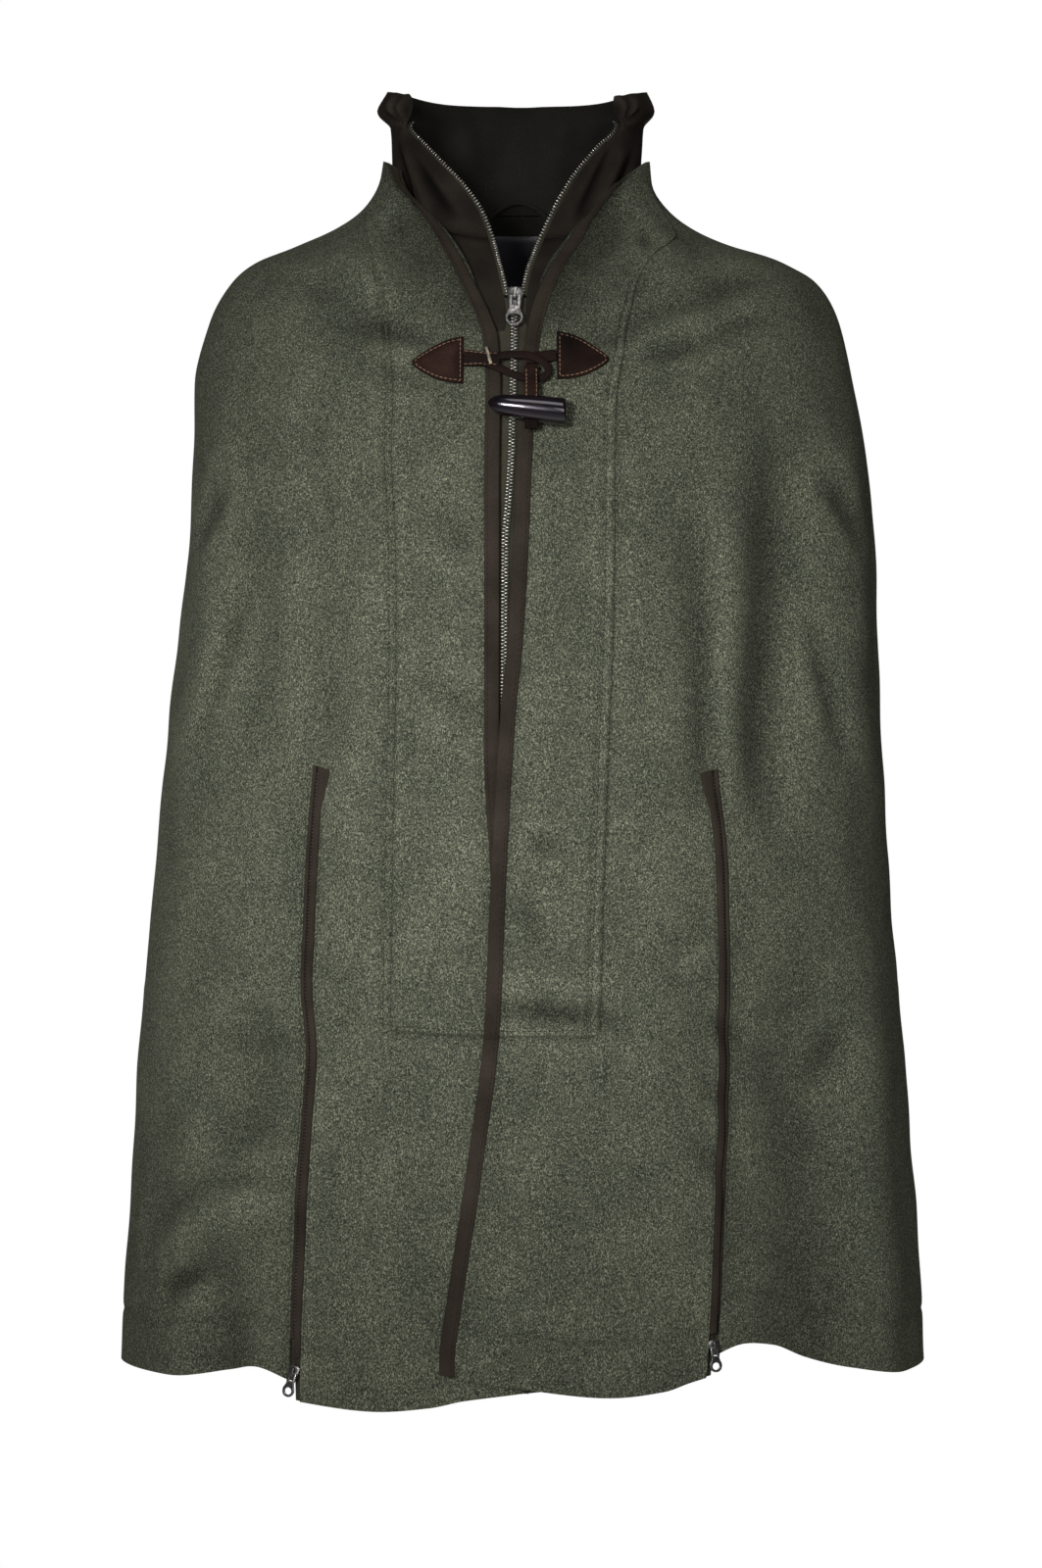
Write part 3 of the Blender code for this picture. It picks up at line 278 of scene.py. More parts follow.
def bell(distance, half):
    """1 on a line, falling off smoothly on both sides of it."""
    return np.exp(-(distance / half) ** 2)


class Form:
    """A surface through a table of rings, read by bearing and by station down its length."""

    def __init__(self, sections):
        self.names = [row.name for row in sections]
        columns = np.array([row[1:] for row in sections], float)
        self.columns = dict(zip(Section._fields[1:], columns.T))
        side = np.hypot(np.diff(self.columns["right"]), np.diff(self.columns["side_z"]))
        ahead = np.hypot(np.diff(self.columns["front"]), np.diff(self.columns["front_z"]))
        self.stations = np.concatenate([[0], np.cumsum((side + ahead) / 2)])

    def station(self, name):
        """Station of a named ring."""
        return self.stations[self.names.index(name)]

    def at_depth(self, depth, column="front_z"):
        """Station where the form is this far below the neck base."""
        return np.interp(depth, -self.columns[column], self.stations)

    def rows(self, first, last, spacing):
        """Stations between two named rings about this far apart, with every ring among them."""
        stations = []
        for i in range(self.names.index(first), self.names.index(last)):
            length = self.stations[i + 1] - self.stations[i]
            count = max(1, round(length / spacing))
            stations.extend(self.stations[i] + length * np.arange(count) / count)
        return np.array(stations + [self.station(last)])

    def read(self, column, station):
        """One column of the table, smoothed along the length."""
        return smooth_curve(self.stations, self.columns[column], station)

    def point(self, bearing, station):
        """Point of the plain surface."""
        angle = np.radians(bearing)
        across = np.sin(angle)
        ahead = np.cos(angle)
        half = np.where(across < 0, self.read("right", station), self.read("left", station))
        depth = np.where(ahead > 0, self.read("front", station), self.read("back", station))
        side_z = self.read("side_z", station)
        end_z = np.where(ahead > 0, self.read("front_z", station), self.read("back_z", station))
        return np.stack([half * across, -depth * ahead, side_z + (end_z - side_z) * ahead ** 2], -1)

    def outward(self, bearing, station):
        """Unit normal of the plain surface."""
        step = 0.5
        middle = np.clip(station, step, self.stations[-1] - step)
        across = self.point(bearing + step, middle) - self.point(bearing - step, middle)
        down = self.point(bearing, middle + step) - self.point(bearing, middle - step)
        return unit(np.cross(down, across))

    def degrees(self, distance, bearing, station):
        """Bearing step that covers a distance round the ring."""
        step = 0.5
        across = self.point(bearing + step, station) - self.point(bearing - step, station)
        return distance / np.linalg.norm(across, axis=-1)

    def bearing_of(self, line, station):
        """Bearing where a line given by height crosses a station."""
        heights = [-row[0] for row in line]
        bearings = [row[1] for row in line]
        bearing = np.full(np.shape(station), bearings[-1], float)
        for _ in range(30):
            height = self.point(bearing, station)[..., 2]
            bearing = (bearing + smooth_curve(heights, bearings, -height)) / 2
        return bearing


def unit(vectors):
    """Vectors at length one."""
    return vectors / np.linalg.norm(vectors, axis=-1, keepdims=True)


def bearing_across(form, across, station):
    """Bearing of a front point from its distance across."""
    half = np.where(np.asarray(across) < 0, form.read("right", station), form.read("left", station))
    return np.degrees(np.arcsin(np.clip(across / half, -0.999, 0.999)))


def line_on(kind, side, station):
    """Bearing of the edge, the stitched line or the slit of one front at a station."""
    return cape.bearing_of(LINES[kind, side], station)


def each_row(stations, bearings):
    """The station of every point in a grid of bearings."""
    return stations[:, None] + 0 * bearings


cape = Form(CAPE)
collar = Form(COLLAR)
neck_band = Form(NECK_BAND)
print("cape:", round(cape.stations[-1]), "mm down the cloth, collar:", round(collar.stations[-1]), "mm")

# %% [markdown]
# ## Cloth with its folds
#
# Folds could be painted as bump in the material, but bump has no outline and no shadow. Here they move
# the points. A large fold is a groove along a line down the body. A crease runs any way, so its depth
# falls off with the distance from a short line. A little smooth noise takes the last of the ruled look
# away, as in cloth that has been worn and steamed.

# %% Depth of the folds
WOOL_WAVES = (46.0, 1.6, 3.0)   # mm between the soft dents of worn cloth, their depth, and a seed
CREASE_GAIN = 1.6    # how strongly the small creases show


def fold_depth(bearing, height):
    """All large folds together, as a distance out from the plain surface."""
    total = np.zeros(np.shape(bearing))
    for fold in FOLDS:
        way = np.clip((fold.top_z - height) / (fold.top_z - fold.low_z), 0, 1)
        middle = fold.top_bearing + (fold.low_bearing - fold.top_bearing) * way
        around = (bearing - middle + 180) % 360 - 180
        fade = ramp(way, 0, 0.3) * ramp(1 - way, 0, 0.3)
        total = total + fold.depth * fade * bell(around * ARC, fold.width)
    return total


def crease_depth(creases, bearing, height, arc):
    """All small creases together: short lines on the cloth that may run any way."""
    total = np.zeros(np.shape(bearing))
    for crease in creases:
        around = ((bearing - crease.top_bearing + 180) % 360 - 180) * arc
        below = height - crease.top_z
        way = ((crease.low_bearing - crease.top_bearing) * arc, crease.low_z - crease.top_z)
        t = (around * way[0] + below * way[1]) / (way[0] ** 2 + way[1] ** 2)
        near = np.clip(t, 0, 1)
        distance = np.hypot(around - near * way[0], below - near * way[1])
        fade = ramp(t, -0.25, 0.4) * ramp(t, 1.25, 0.6)
        total = total + crease.depth * fade * bell(distance, crease.width)
    return total * CREASE_GAIN


def worn_waves(points, size, depth, seed):
    """Soft irregular dents, the same each run."""
    flat = points.reshape(-1, 3) / size
    values = [noise.noise(Vector((x, y, z + seed))) for x, y, z in flat]
    return depth * np.array(values).reshape(points.shape[:-1])


print("deepest fold:", max(abs(fold.depth) for fold in FOLDS), "mm")

# %% [markdown]
# ## The two fronts and the back
#
# The doubled bib stands a little higher than the plain front and ends in a step. Lower down the fronts
# cross: the left one rides out and the right one lies in. The cloth behind each arm slit is tucked in
# at the hem. Stitching pulls thick wool down in small puckers, so the lines of stitches get a shallow
# groove with a ripple along it.

# %% Surfaces of the wool
SEAM_DIP = 1.0       # the wool rolls in at the seams
SIDE_HALF = 3.0      # mm to each side of a side seam
HEM_DIP = 0.9        # and dips where the hem is caught down
LINE_HALF = 2.5      # mm to each side of that line, and of the neck seam
CALM = 0.5           # share of the folds that is lost at the side seams, where the panels have to meet
STITCH_DIP = 1.1     # groove under a line of stitches
GROOVE_HALF = 1.8    # mm to each side of it
STITCH_START = (20, 60)   # the grooves of the bib grow between these depths
BINDING_GROOVE = 0.8      # the groove beside the binding, as a share of theirs
BIB_STEP = 1.6       # mm down the cloth over which the bib ends
BIB_SHADOW = 1.3     # the plain front falls in this far under the end of the bib
SHADOW_AT = 3.5      # mm below the end
SHADOW_HALF = 2.2    # mm
STITCH_APART = {"right": 5.0, "left": -6.0}   # second line of the double stitching, out from the first
PUCKER = 15.0        # mm from one pucker to the next
PUCKER_SHARE = 0.45  # change of the groove's depth
LAP_DEPTHS = (160, 340)   # the fronts come to cross between these depths
LAP_FADE = (60, 150)      # and lie plain this far from their edges, mm
TUCK_DEPTHS = (380, 700)  # the tuck behind an arm slit grows between these depths
TUCK_SPAN = 50.0          # mm from the slit


def hem_rise(side, bearing, station):
    """Rise of the hem of one front, growing from below the bib to the hem."""
    across = cape.point(bearing, station)[..., 0]
    slit = line_on("slit", side, station)
    rises = []
    for part in ("front", "side"):
        table = HEM_RISE[side, part]
        rises.append(smooth_curve([row[0] for row in table], [row[1] for row in table], across))
    rise = np.where(np.abs(bearing) < np.abs(slit), rises[0], rises[1])
    return rise * ramp(station, cape.station("below_bib"), cape.station("hem"))


def groove(distance, along):
    """Shallow dip along a line of stitches, deeper at each pucker."""
    ripple = 1 + PUCKER_SHARE * np.sin(2 * np.pi * along / PUCKER)
    return -STITCH_DIP * ripple * bell(distance, GROOVE_HALF)


def above_bib_end(station):
    """1 on the bib, 0 below its lower edge."""
    return 1 - ramp(station, cape.station("bib_end"), cape.station("bib_end") + BIB_STEP)


def bib_share(side, bearing, station):
    """1 where the front is doubled, 0 elsewhere."""
    stitch = line_on("stitch", side, station)
    return ramp((stitch - bearing) * SIGN[side] * ARC, -1, 1) * above_bib_end(station)


def front(side, bearing, station):
    """Outside of one front with all that shapes it; and the outward normals."""
    bearing, station = np.broadcast_arrays(np.asarray(bearing, float), np.asarray(station, float))
    points = cape.point(bearing, station)
    normals = cape.outward(bearing, station)
    height = points[..., 2]
    sign = SIGN[side]
    edge = line_on("edge", side, station)
    stitch = line_on("stitch", side, station)
    slit = line_on("slit", side, station)
    out = fold_depth(bearing, height) + crease_depth(CREASES, bearing, height, ARC)
    out = out * (1 - CALM * ramp(np.abs(bearing), 80, 90))
    out = out + worn_waves(points, *WOOL_WAVES)
    out = out + BIB_RISE * bib_share(side, bearing, station)
    for apart in (0.0, STITCH_APART[side]):
        distance = (bearing - stitch) * sign * ARC - apart
        out = out + groove(distance, height) * above_bib_end(station) * ramp(-height, *STITCH_START)
    under_bib = bell(station - cape.station("bib_end") - SHADOW_AT, SHADOW_HALF)
    out = out - BIB_SHADOW * under_bib * ramp((stitch - bearing) * sign * ARC, -3, 3)
    lap = LAP_OUT if side == "left" else -LAP_IN
    from_edge = (bearing - edge) * sign * ARC
    out = out + lap * ramp(-height, *LAP_DEPTHS) * (1 - ramp(from_edge, *LAP_FADE))
    out = out + groove(from_edge - BINDING_WIDE, height + 4) * BINDING_GROOVE
    behind_slit = ramp((bearing - slit) * sign * ARC, -0.5, 0.5) * ramp(-height, *TUCK_DEPTHS)
    out = out - TUCK * behind_slit * np.exp(-np.abs(bearing - slit) * ARC / TUCK_SPAN)
    out = out - SEAM_DIP * bell((90 - np.abs(bearing)) * ARC, SIDE_HALF)
    out = out - HEM_DIP * bell(station - cape.station("hem_line"), LINE_HALF)
    points = points + normals * out[..., None]
    points[..., 2] += hem_rise(side, bearing, station)
    return points, normals


def back(bearing, station):
    """Outside of the back with its folds, and the outward normals."""
    bearing, station = np.broadcast_arrays(np.asarray(bearing, float), np.asarray(station, float))
    points = cape.point(bearing, station)
    normals = cape.outward(bearing, station)
    from_seam = 90 - np.abs(bearing - 180)
    out = fold_depth(bearing, points[..., 2]) + crease_depth(CREASES, bearing, points[..., 2], ARC)
    out = out * (1 - CALM * (1 - ramp(from_seam, 0, 10)))
    out = out + worn_waves(points, *WOOL_WAVES)
    out = out - SEAM_DIP * bell(from_seam * ARC, SIDE_HALF)
    out = out - SEAM_DIP * bell(station - cape.station("neck"), LINE_HALF)
    out = out - HEM_DIP * bell(station - cape.station("hem_line"), LINE_HALF)
    return points + normals * out[..., None], normals


def wool_wall(station):
    """Thickness of the loden, doubled by the turned hem."""
    return WOOL + (HEM_WOOL - WOOL) * ramp(station, cape.station("hem_line") - 6, cape.station("hem_line"))


trial, _ = front("right", -20.0, cape.station("chest"))
print("a point on the right chest:", np.round(trial, 1), "mm")

# %% [markdown]
# ## Tools for sheets
#
# Every cloth piece is made the same way: a grid of points for its outside, a second grid for its inside
# and a rim between them. A Solidify modifier would give the wall too, but the hem and the bib are
# thicker than the rest. The rim is then bevelled, because cut wool and folded edges are never sharp. Each
# sheet also stores a painted shade for its material, darker in its hollows and paler on its ridges.

# %% Sheets, strips and copies
# painted shade from the folds: hollows darker, ridges paler
SHADE_REACH = 5        # rows and columns around a point that its depth is compared with
SHADE_GAIN = 0.17      # change of the painted shade for each millimetre
SHADE_RANGE = (0.42, 1.25)
SMOOTH = math.radians(60)         # edges flatter than this are shaded smooth
COPY_SMOOTH = math.radians(50)    # the same for teeth and stitches


def only(piece):
    """Make one object the only selected and active one."""
    bpy.ops.object.select_all(action="DESELECT")
    piece.select_set(True)
    bpy.context.view_layer.objects.active = piece


def apply_all(piece):
    """Apply every modifier of a piece, first to last."""
    only(piece)
    for change in list(piece.modifiers):
        bpy.ops.object.modifier_apply(modifier=change.name)


def new_piece(name, points, faces, finish):
    """Object at the origin from points in millimetres, with its normals turned out."""
    mesh = bpy.data.meshes.new(name)
    mesh.from_pydata(np.asarray(points) * MM, [], faces)
    work = bmesh.new()
    work.from_mesh(mesh)
    bmesh.ops.recalc_face_normals(work, faces=work.faces)
    work.to_mesh(mesh)
    work.free()
    mesh.materials.append(finish)
    piece = bpy.data.objects.new(name, mesh)
    bpy.context.scene.collection.objects.link(piece)
    return piece


def round_rim(piece, width, angle=50):
    """Bevel the sharp edges of a piece and shade the rest smooth."""
    bevel = piece.modifiers.new("rim", "BEVEL")
    bevel.width = width * MM
    bevel.segments = 2
    bevel.limit_method = "ANGLE"
    bevel.angle_limit = math.radians(angle)
    apply_all(piece)
    bpy.ops.object.shade_smooth_by_angle(angle=SMOOTH)
    return piece


def painted_fold_shade(plain, points, normals):
    """Painted shade on a grid: darker in hollows and paler on ridges."""
    depth = np.sum((points - plain) * normals, axis=-1)
    around = depth
    for axis in (0, 1):
        margins = [(SHADE_REACH, SHADE_REACH) if k == axis else (0, 0) for k in (0, 1)]
        wide = np.pad(around, margins, mode="edge")
        rows = [np.roll(wide, -k, axis=axis) for k in range(2 * SHADE_REACH + 1)]
        around = np.mean(rows, axis=0).take(range(depth.shape[axis]), axis=axis)
    return np.clip(1 + SHADE_GAIN * (depth - around), *SHADE_RANGE)


def cloth_wall(name, outer, inner, finish, keep=None, inside=None, rim=0.6, shading_and_wear=None):
    """Closed sheet between two grids of points; keep leaves cells out, inside paints the inner face."""
    rows, columns = outer.shape[:2]
    count = rows * columns
    number = np.arange(count).reshape(rows, columns)
    cells = np.stack([number[:-1, :-1], number[:-1, 1:], number[1:, 1:], number[1:, :-1]], -1)
    cells = cells.reshape(-1, 4) if keep is None else cells[keep]
    starts = cells.ravel()
    ends = np.roll(cells, -1, axis=1).ravel()
    free = ~np.isin(starts * count + ends, ends * count + starts)
    starts, ends = starts[free], ends[free]
    walls = np.stack([ends, starts, starts + count, ends + count], 1)
    faces = np.concatenate([cells, cells[:, ::-1] + count, walls])
    points = np.concatenate([outer.reshape(-1, 3), inner.reshape(-1, 3)])
    piece = new_piece(name, points, faces.tolist(), finish)
    # painted shade and highlight, or the leather's rubbed wear, kept at the points for the material
    shade = np.ones(2 * count)
    if shading_and_wear is not None:
        shade[:count] = shading_and_wear.ravel()
    piece.data.attributes.new("shading_and_wear", "FLOAT", "POINT").data.foreach_set("value", shade)
    if inside is not None:
        piece.data.materials.append(inside)
        which = np.zeros(len(faces), np.int32)
        which[len(cells):2 * len(cells)] = 1
        piece.data.polygons.foreach_set("material_index", which)
    return round_rim(piece, rim)


def strip_on_front(name, side, stations, ends, profile, finish, rim=0.25, shade=1.0):
    """Strip that follows a front between two lines of bearings; profile rows are share, top, underside."""
    share, top, low = np.array(profile, float).T
    bearings = ends[0][:, None] + (ends[1] - ends[0])[:, None] * share
    points, normals = front(side, bearings, each_row(stations, bearings))
    shading_and_wear = np.full(bearings.shape, shade)
    outer = points + normals * top[:, None]
    return cloth_wall(name, outer, points + normals * low[:, None], finish, rim=rim, shading_and_wear=shading_and_wear)


def resample(points, normals, spacing):
    """Evenly spaced places along a line, with the way it runs and its outward normals."""
    along = np.concatenate([[0], np.cumsum(np.linalg.norm(np.diff(points, axis=0), axis=1))])
    places = np.arange(spacing / 2, along[-1], spacing)
    spots = np.stack([np.interp(places, along, points[:, k]) for k in range(3)], 1)
    outs = np.stack([np.interp(places, along, normals[:, k]) for k in range(3)], 1)
    ways = unit(np.gradient(spots, axis=0))
    outs = unit(outs - ways * np.sum(outs * ways, axis=1, keepdims=True))
    return spots, ways, outs


def copies(name, shape, spots, ways, outs, finish):
    """One mesh with a copy of a small shape at every place: its X along the way, its Z out."""
    points = np.array([v.co for v in shape.data.vertices])
    across = np.cross(outs, ways)
    placed = (spots[:, None] + points[None, :, :1] * ways[:, None] + points[None, :, 1:2] * across[:, None]
              + points[None, :, 2:] * outs[:, None])
    faces = [list(face.vertices) for face in shape.data.polygons]
    all_faces = [[n + k * len(points) for n in face] for k in range(len(spots)) for face in faces]
    piece = new_piece(name, placed.reshape(-1, 3), all_faces, finish)
    only(piece)
    bpy.ops.object.shade_smooth_by_angle(angle=COPY_SMOOTH)
    return piece


def declare(piece, body="cape", replaces=()):
    """Hang a piece on the body it rides on and hide the solids it stands for."""
    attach(piece, body)
    if replaces:
        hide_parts(*replaces)
    return piece


print("tools ready")

# %% [markdown]
# ## Finishes
#
# A photograph of cloth could be wrapped round the cape, but it would stretch and it would carry its own
# light. Procedural nodes have no seams and keep their scale. All of them read the object's own
# coordinates in metres, so a noise scale of 1000 makes flecks about a millimetre wide.

# %% Helpers for node trees
def plain_finish(name, roughness, metallic=0.0):
    """Material with one shader, its node tree and the shader's inputs."""
    material = bpy.data.materials.new(name)
    material.use_nodes = True
    tree = material.node_tree
    shader = tree.nodes["Principled BSDF"].inputs
    shader["Roughness"].default_value = roughness
    shader["Metallic"].default_value = metallic
    return material, tree, shader


def flecks(tree, stretch, scale, detail=2.0):
    """Noise in the object's own coordinates, drawn out by stretching."""
    place = tree.nodes.new("ShaderNodeTexCoord")
    turn = tree.nodes.new("ShaderNodeMapping")
    turn.inputs["Scale"].default_value = stretch
    texture = tree.nodes.new("ShaderNodeTexNoise")
    texture.inputs["Scale"].default_value = scale
    texture.inputs["Detail"].default_value = detail
    tree.links.new(place.outputs["Object"], turn.inputs["Vector"])
    tree.links.new(turn.outputs["Vector"], texture.inputs["Vector"])
    return texture.outputs["Fac"]


def blend(tree, kind, share, first, second):
    """Mix two colours; a number, a colour or another node's output may be given for each."""
    mix = tree.nodes.new("ShaderNodeMix")
    mix.data_type = "RGBA"
    mix.blend_type = kind
    for key, value in (("Factor", share), ("A", first), ("B", second)):
        socket = next(s for s in mix.inputs if s.name == key and s.enabled)
        if isinstance(value, bpy.types.NodeSocket):
            tree.links.new(value, socket)
        elif key == "Factor":
            socket.default_value = value
        else:
            socket.default_value = (*value, 1)
    return next(s for s in mix.outputs if s.enabled)


def shades(tree, fac, stops):
    """Colour ramp over a noise."""
    ladder = tree.nodes.new("ShaderNodeValToRGB")
    elements = ladder.color_ramp.elements
    while len(elements) < len(stops):
        elements.new(0.5)
    for element, (place, colour) in zip(elements, stops):
        element.position = place
        element.color = (*colour, 1)
    tree.links.new(fac, ladder.inputs["Fac"])
    return ladder.outputs["Color"]


def stored_shading_and_wear(tree):
    """Painted shade and highlight, or the leather's rubbed wear, that a sheet stores at its points."""
    stored = tree.nodes.new("ShaderNodeAttribute")
    stored.attribute_name = "shading_and_wear"
    return stored.outputs["Color"]


def relief(tree, shader, height, depth, strength):
    """Bump from a noise, with its depth in millimetres."""
    bump = tree.nodes.new("ShaderNodeBump")
    bump.inputs["Strength"].default_value = strength
    bump.inputs["Distance"].default_value = depth * MM
    tree.links.new(height, bump.inputs["Height"])
    tree.links.new(bump.outputs["Normal"], shader["Normal"])


print("node helpers ready")

# %% [markdown]
# ## Loden
#
# Loden is felted from mixed fibres, so it has no weave to show. Close up it is a heather of dark green,
# olive and pale straw flecks that lie mostly upright, with a soft nap. Two stretched noises make the
# flecks, a slow one makes cloudy patches, and sheen gives the nap its pale edge.

# %% Loden wool
def loden_wool():
    """Heathered green-grey wool."""
    material, tree, shader = plain_finish("loden_heather", 0.95)
    upright = flecks(tree, (1, 1, 0.55), 1450, 2)
    lying = flecks(tree, (0.7, 0.7, 1), 1250, 2)
    clouds = flecks(tree, (1, 1, 0.6), 30, 3)
    heather = shades(tree, upright, [(0.34, (0.009, 0.012, 0.010)), (0.46, (0.050, 0.055, 0.040)),
                                     (0.56, (0.111, 0.117, 0.085)), (0.68, (0.415, 0.415, 0.31))])
    cross = shades(tree, lying, [(0.36, (0.020, 0.024, 0.020)), (0.52, (0.076, 0.080, 0.058)),
                                 (0.66, (0.245, 0.25, 0.185))])
    colour = blend(tree, "MIX", 0.42, heather, cross)
    cloudy = shades(tree, clouds, [(0.3, (0.80, 0.82, 0.80)), (0.7, (1.12, 1.12, 1.08))])
    colour = blend(tree, "MULTIPLY", 1.0, colour, cloudy)
    # the colour is multiplied by the painted shade of the folds stored on the sheet
    tree.links.new(blend(tree, "MULTIPLY", 1.0, colour, stored_shading_and_wear(tree)), shader["Base Color"])
    shader["Sheen Weight"].default_value = 0.07
    shader["Sheen Roughness"].default_value = 0.5
    shader["Sheen Tint"].default_value = (0.62, 0.66, 0.5, 1)
    shader["Specular IOR Level"].default_value = 0.08
    relief(tree, shader, upright, 0.5, 0.45)
    return material


LODEN = loden_wool()
print("finish:", LODEN.name)

# %% [markdown]
# ## Brown microfibre, zip tape, lining and leather
#
# The trim is a suede-like microfibre with a very fine nap. The zip tape is a plain olive twill. The
# lining is blue-black satin, which catches one soft streak of light. The leather is rubbed paler in the
# middle of the right patch. Darker copies of the microfibre carry painted shade for the collar, its
# facings and the inside of the neck. They differ in only a few values, so one function makes them all,
# threads too.

# %% Other soft finishes
def soft_finish(name, dark, light, size, stretch, roughness, sheen=None, grain=0.12, shine=0.1, shading_and_wear=False):
    """Cloth or leather of two shades, with a fine grain."""
    material, tree, shader = plain_finish(name, roughness)
    fine = flecks(tree, stretch, size, 3)
    slow = flecks(tree, (1, 1, 1), 34, 2)
    base = shades(tree, slow, [(0.3, dark), (0.72, light)])
    shade = shades(tree, fine, [(0.3, (0.72, 0.72, 0.72)), (0.7, (1.2, 1.2, 1.2))])
    colour = blend(tree, "MULTIPLY", 1.0, base, shade)
    # painted shade stored on the sheet, or the leather's rubbed wear
    if shading_and_wear:
        colour = blend(tree, "MULTIPLY", 1.0, colour, stored_shading_and_wear(tree))
    tree.links.new(colour, shader["Base Color"])
    shader["Specular IOR Level"].default_value = shine
    if sheen:
        shader["Sheen Weight"].default_value = 0.08
        shader["Sheen Roughness"].default_value = 0.4
        shader["Sheen Tint"].default_value = (*sheen, 1)
    relief(tree, shader, fine, grain, 0.5)
    return material


MICROFIBRE = soft_finish("brown_microfibre_nap", (0.026, 0.020, 0.015), (0.046, 0.036, 0.028), 1400,
                         (1, 1, 1), 0.85, sheen=(0.55, 0.45, 0.36))
# the brown microfibre again, darkened as painted shade for the collar and facings, which face away from the
# light
SHADED_MICROFIBRE = soft_finish("microfibre_painted_shade", (0.0125, 0.010, 0.008), (0.028, 0.0225, 0.0175), 1400,
                           (1, 1, 1), 0.85, sheen=(0.5, 0.42, 0.34), shading_and_wear=True)
# a still darker brown cloth as painted shade, for the collar's inner face, the neck band and the hanger loop,
# where little light reaches
SHADED_INSIDE = soft_finish("inner_cloth_painted_shade", (0.013, 0.012, 0.010), (0.022, 0.021, 0.017), 1600,
                     (1, 1, 1), 0.8, sheen=(0.4, 0.38, 0.32))
TAPE = soft_finish("olive_twill_tape", (0.040, 0.038, 0.026), (0.062, 0.058, 0.040), 1800,
                   (0.5, 0.5, 1), 0.85, grain=0.2)
SATIN_CLOTH = soft_finish("blue_black_satin", (0.007, 0.007, 0.010), (0.036, 0.036, 0.047), 1200,
                          (3, 3, 0.3), 0.34, grain=0.04, shine=0.2)
BROWN_LEATHER = soft_finish("brown_leather_rubbed", (0.006, 0.0034, 0.0026), (0.026, 0.0125, 0.009), 900,
                            (1, 1, 1), 0.8, grain=0.22, shine=0.1, shading_and_wear=True)
DARK_LEATHER = soft_finish("dark_leather", (0.007, 0.0038, 0.0028), (0.020, 0.0095, 0.0068), 900,
                           (1, 1, 1), 0.7, grain=0.2, shine=0.12)
TAN_THREAD = soft_finish("tan_thread", (0.26, 0.15, 0.095), (0.42, 0.26, 0.17), 2500, (1, 1, 1), 0.7)
DARK_THREAD = soft_finish("dark_thread", (0.010, 0.009, 0.007), (0.024, 0.020, 0.015), 2500, (1, 1, 1), 0.7)
LODEN_THREAD = soft_finish("loden_thread", (0.020, 0.024, 0.018), (0.045, 0.048, 0.034), 2500, (1, 1, 1), 0.8)
print("finishes:", len(bpy.data.materials))

# %% [markdown]
# ## Horn and metal
#
# The toggle is polished buffalo horn: nearly black, with faint streaks along its length and a wet
# shine. A coat over a darker, rougher body gives that double highlight. The zips are antique nickel,
# bright where fingers rub and dark in the hollows; a noise drives colour and roughness together.

# %% Hard finishes
def polished_horn():
    """Black-brown horn with streaks along its length."""
    material, tree, shader = plain_finish("polished_horn", 0.22)
    streaks = flecks(tree, (0.12, 1, 1), 420, 4)
    colour = shades(tree, streaks, [(0.3, (0.003, 0.002, 0.003)), (0.62, (0.007, 0.004, 0.006)),
                                    (0.8, (0.022, 0.013, 0.011))])
    tree.links.new(colour, shader["Base Color"])
    shader["Coat Weight"].default_value = 1.0
    shader["Coat Roughness"].default_value = 0.04
    shader["Coat Tint"].default_value = (0.94, 0.88, 1.0, 1)
    relief(tree, shader, streaks, 0.05, 0.25)
    return material


def worn_metal(name, dark, bright, low, high):
    """Metal with tarnish in cloudy patches."""
    material, tree, shader = plain_finish(name, low, 1.0)
    tarnish = flecks(tree, (1, 1, 1), 520, 4)
    tree.links.new(shades(tree, tarnish, [(0.3, dark), (0.65, bright)]), shader["Base Color"])
    rough = shades(tree, tarnish, [(0.3, (high,) * 3), (0.65, (low,) * 3)])
    tree.links.new(rough, shader["Roughness"])
    relief(tree, shader, tarnish, 0.03, 0.3)
    return material


HORN_FINISH = polished_horn()
NICKEL = worn_metal("antique_nickel", (0.13, 0.125, 0.12), (0.40, 0.39, 0.375), 0.24, 0.42)
TEETH_METAL = worn_metal("zip_teeth_metal", (0.12, 0.11, 0.095), (0.62, 0.60, 0.55), 0.28, 0.45)
PALE_BRASS = worn_metal("pale_brass", (0.15, 0.12, 0.085), (0.42, 0.36, 0.27), 0.34, 0.5)
print("hard finishes:", HORN_FINISH.name, NICKEL.name, TEETH_METAL.name, PALE_BRASS.name)

# %% [markdown]
# ## Wool panels
#
# Each front is one cut piece: collar corner, bib, arm slit and hem. Its columns follow the edge, the
# stitched line and the slit, so that these stay crisp, and its rows are about 3 mm apart. The back and
# the outer collar are plain grids between the side seams.

# %% Fronts
ROW_STEP = 3.2       # mm between rows of the fronts
COLUMNS = {"binding": 4, "bib": 26, "stitching": 11, "arm": 24, "side": 58}
STITCH_BAND = {"right": (2.5, 8.5), "left": (8.5, 2.5)}   # mm of fine columns beside the stitched line
BIB_ROWS = (0.5, 1.0, 1.6, 2.4, 3.4, 4.6)   # extra rows at the end of the bib
CORNER = 78.0        # bearing of the collar corner; the binding takes at most half the way to it
NECK_SHADE = {"right": 0.62, "left": 0.78}   # painted shade: this much darker in the hollow round the neck, which gets little light
NECK_REACH = 15.0    # degrees from the edge
NECK_HEIGHTS = (-105, -40)   # the shade grows between these heights
FRONT_CUTS = {"right": ((0.35, 0.86), 0.2235), "left": ((0.39, 0.87), 0.245)}   # flat size in m, area in m2


def binding_line(side, stations):
    """Bearing of the stitched edge of the binding, squeezed at the collar corner."""
    edge = line_on("edge", side, stations)
    step = cape.degrees(BINDING_WIDE, edge, stations)
    return edge + SIGN[side] * np.minimum(step, np.abs(SIGN[side] * CORNER - edge) * 0.5)


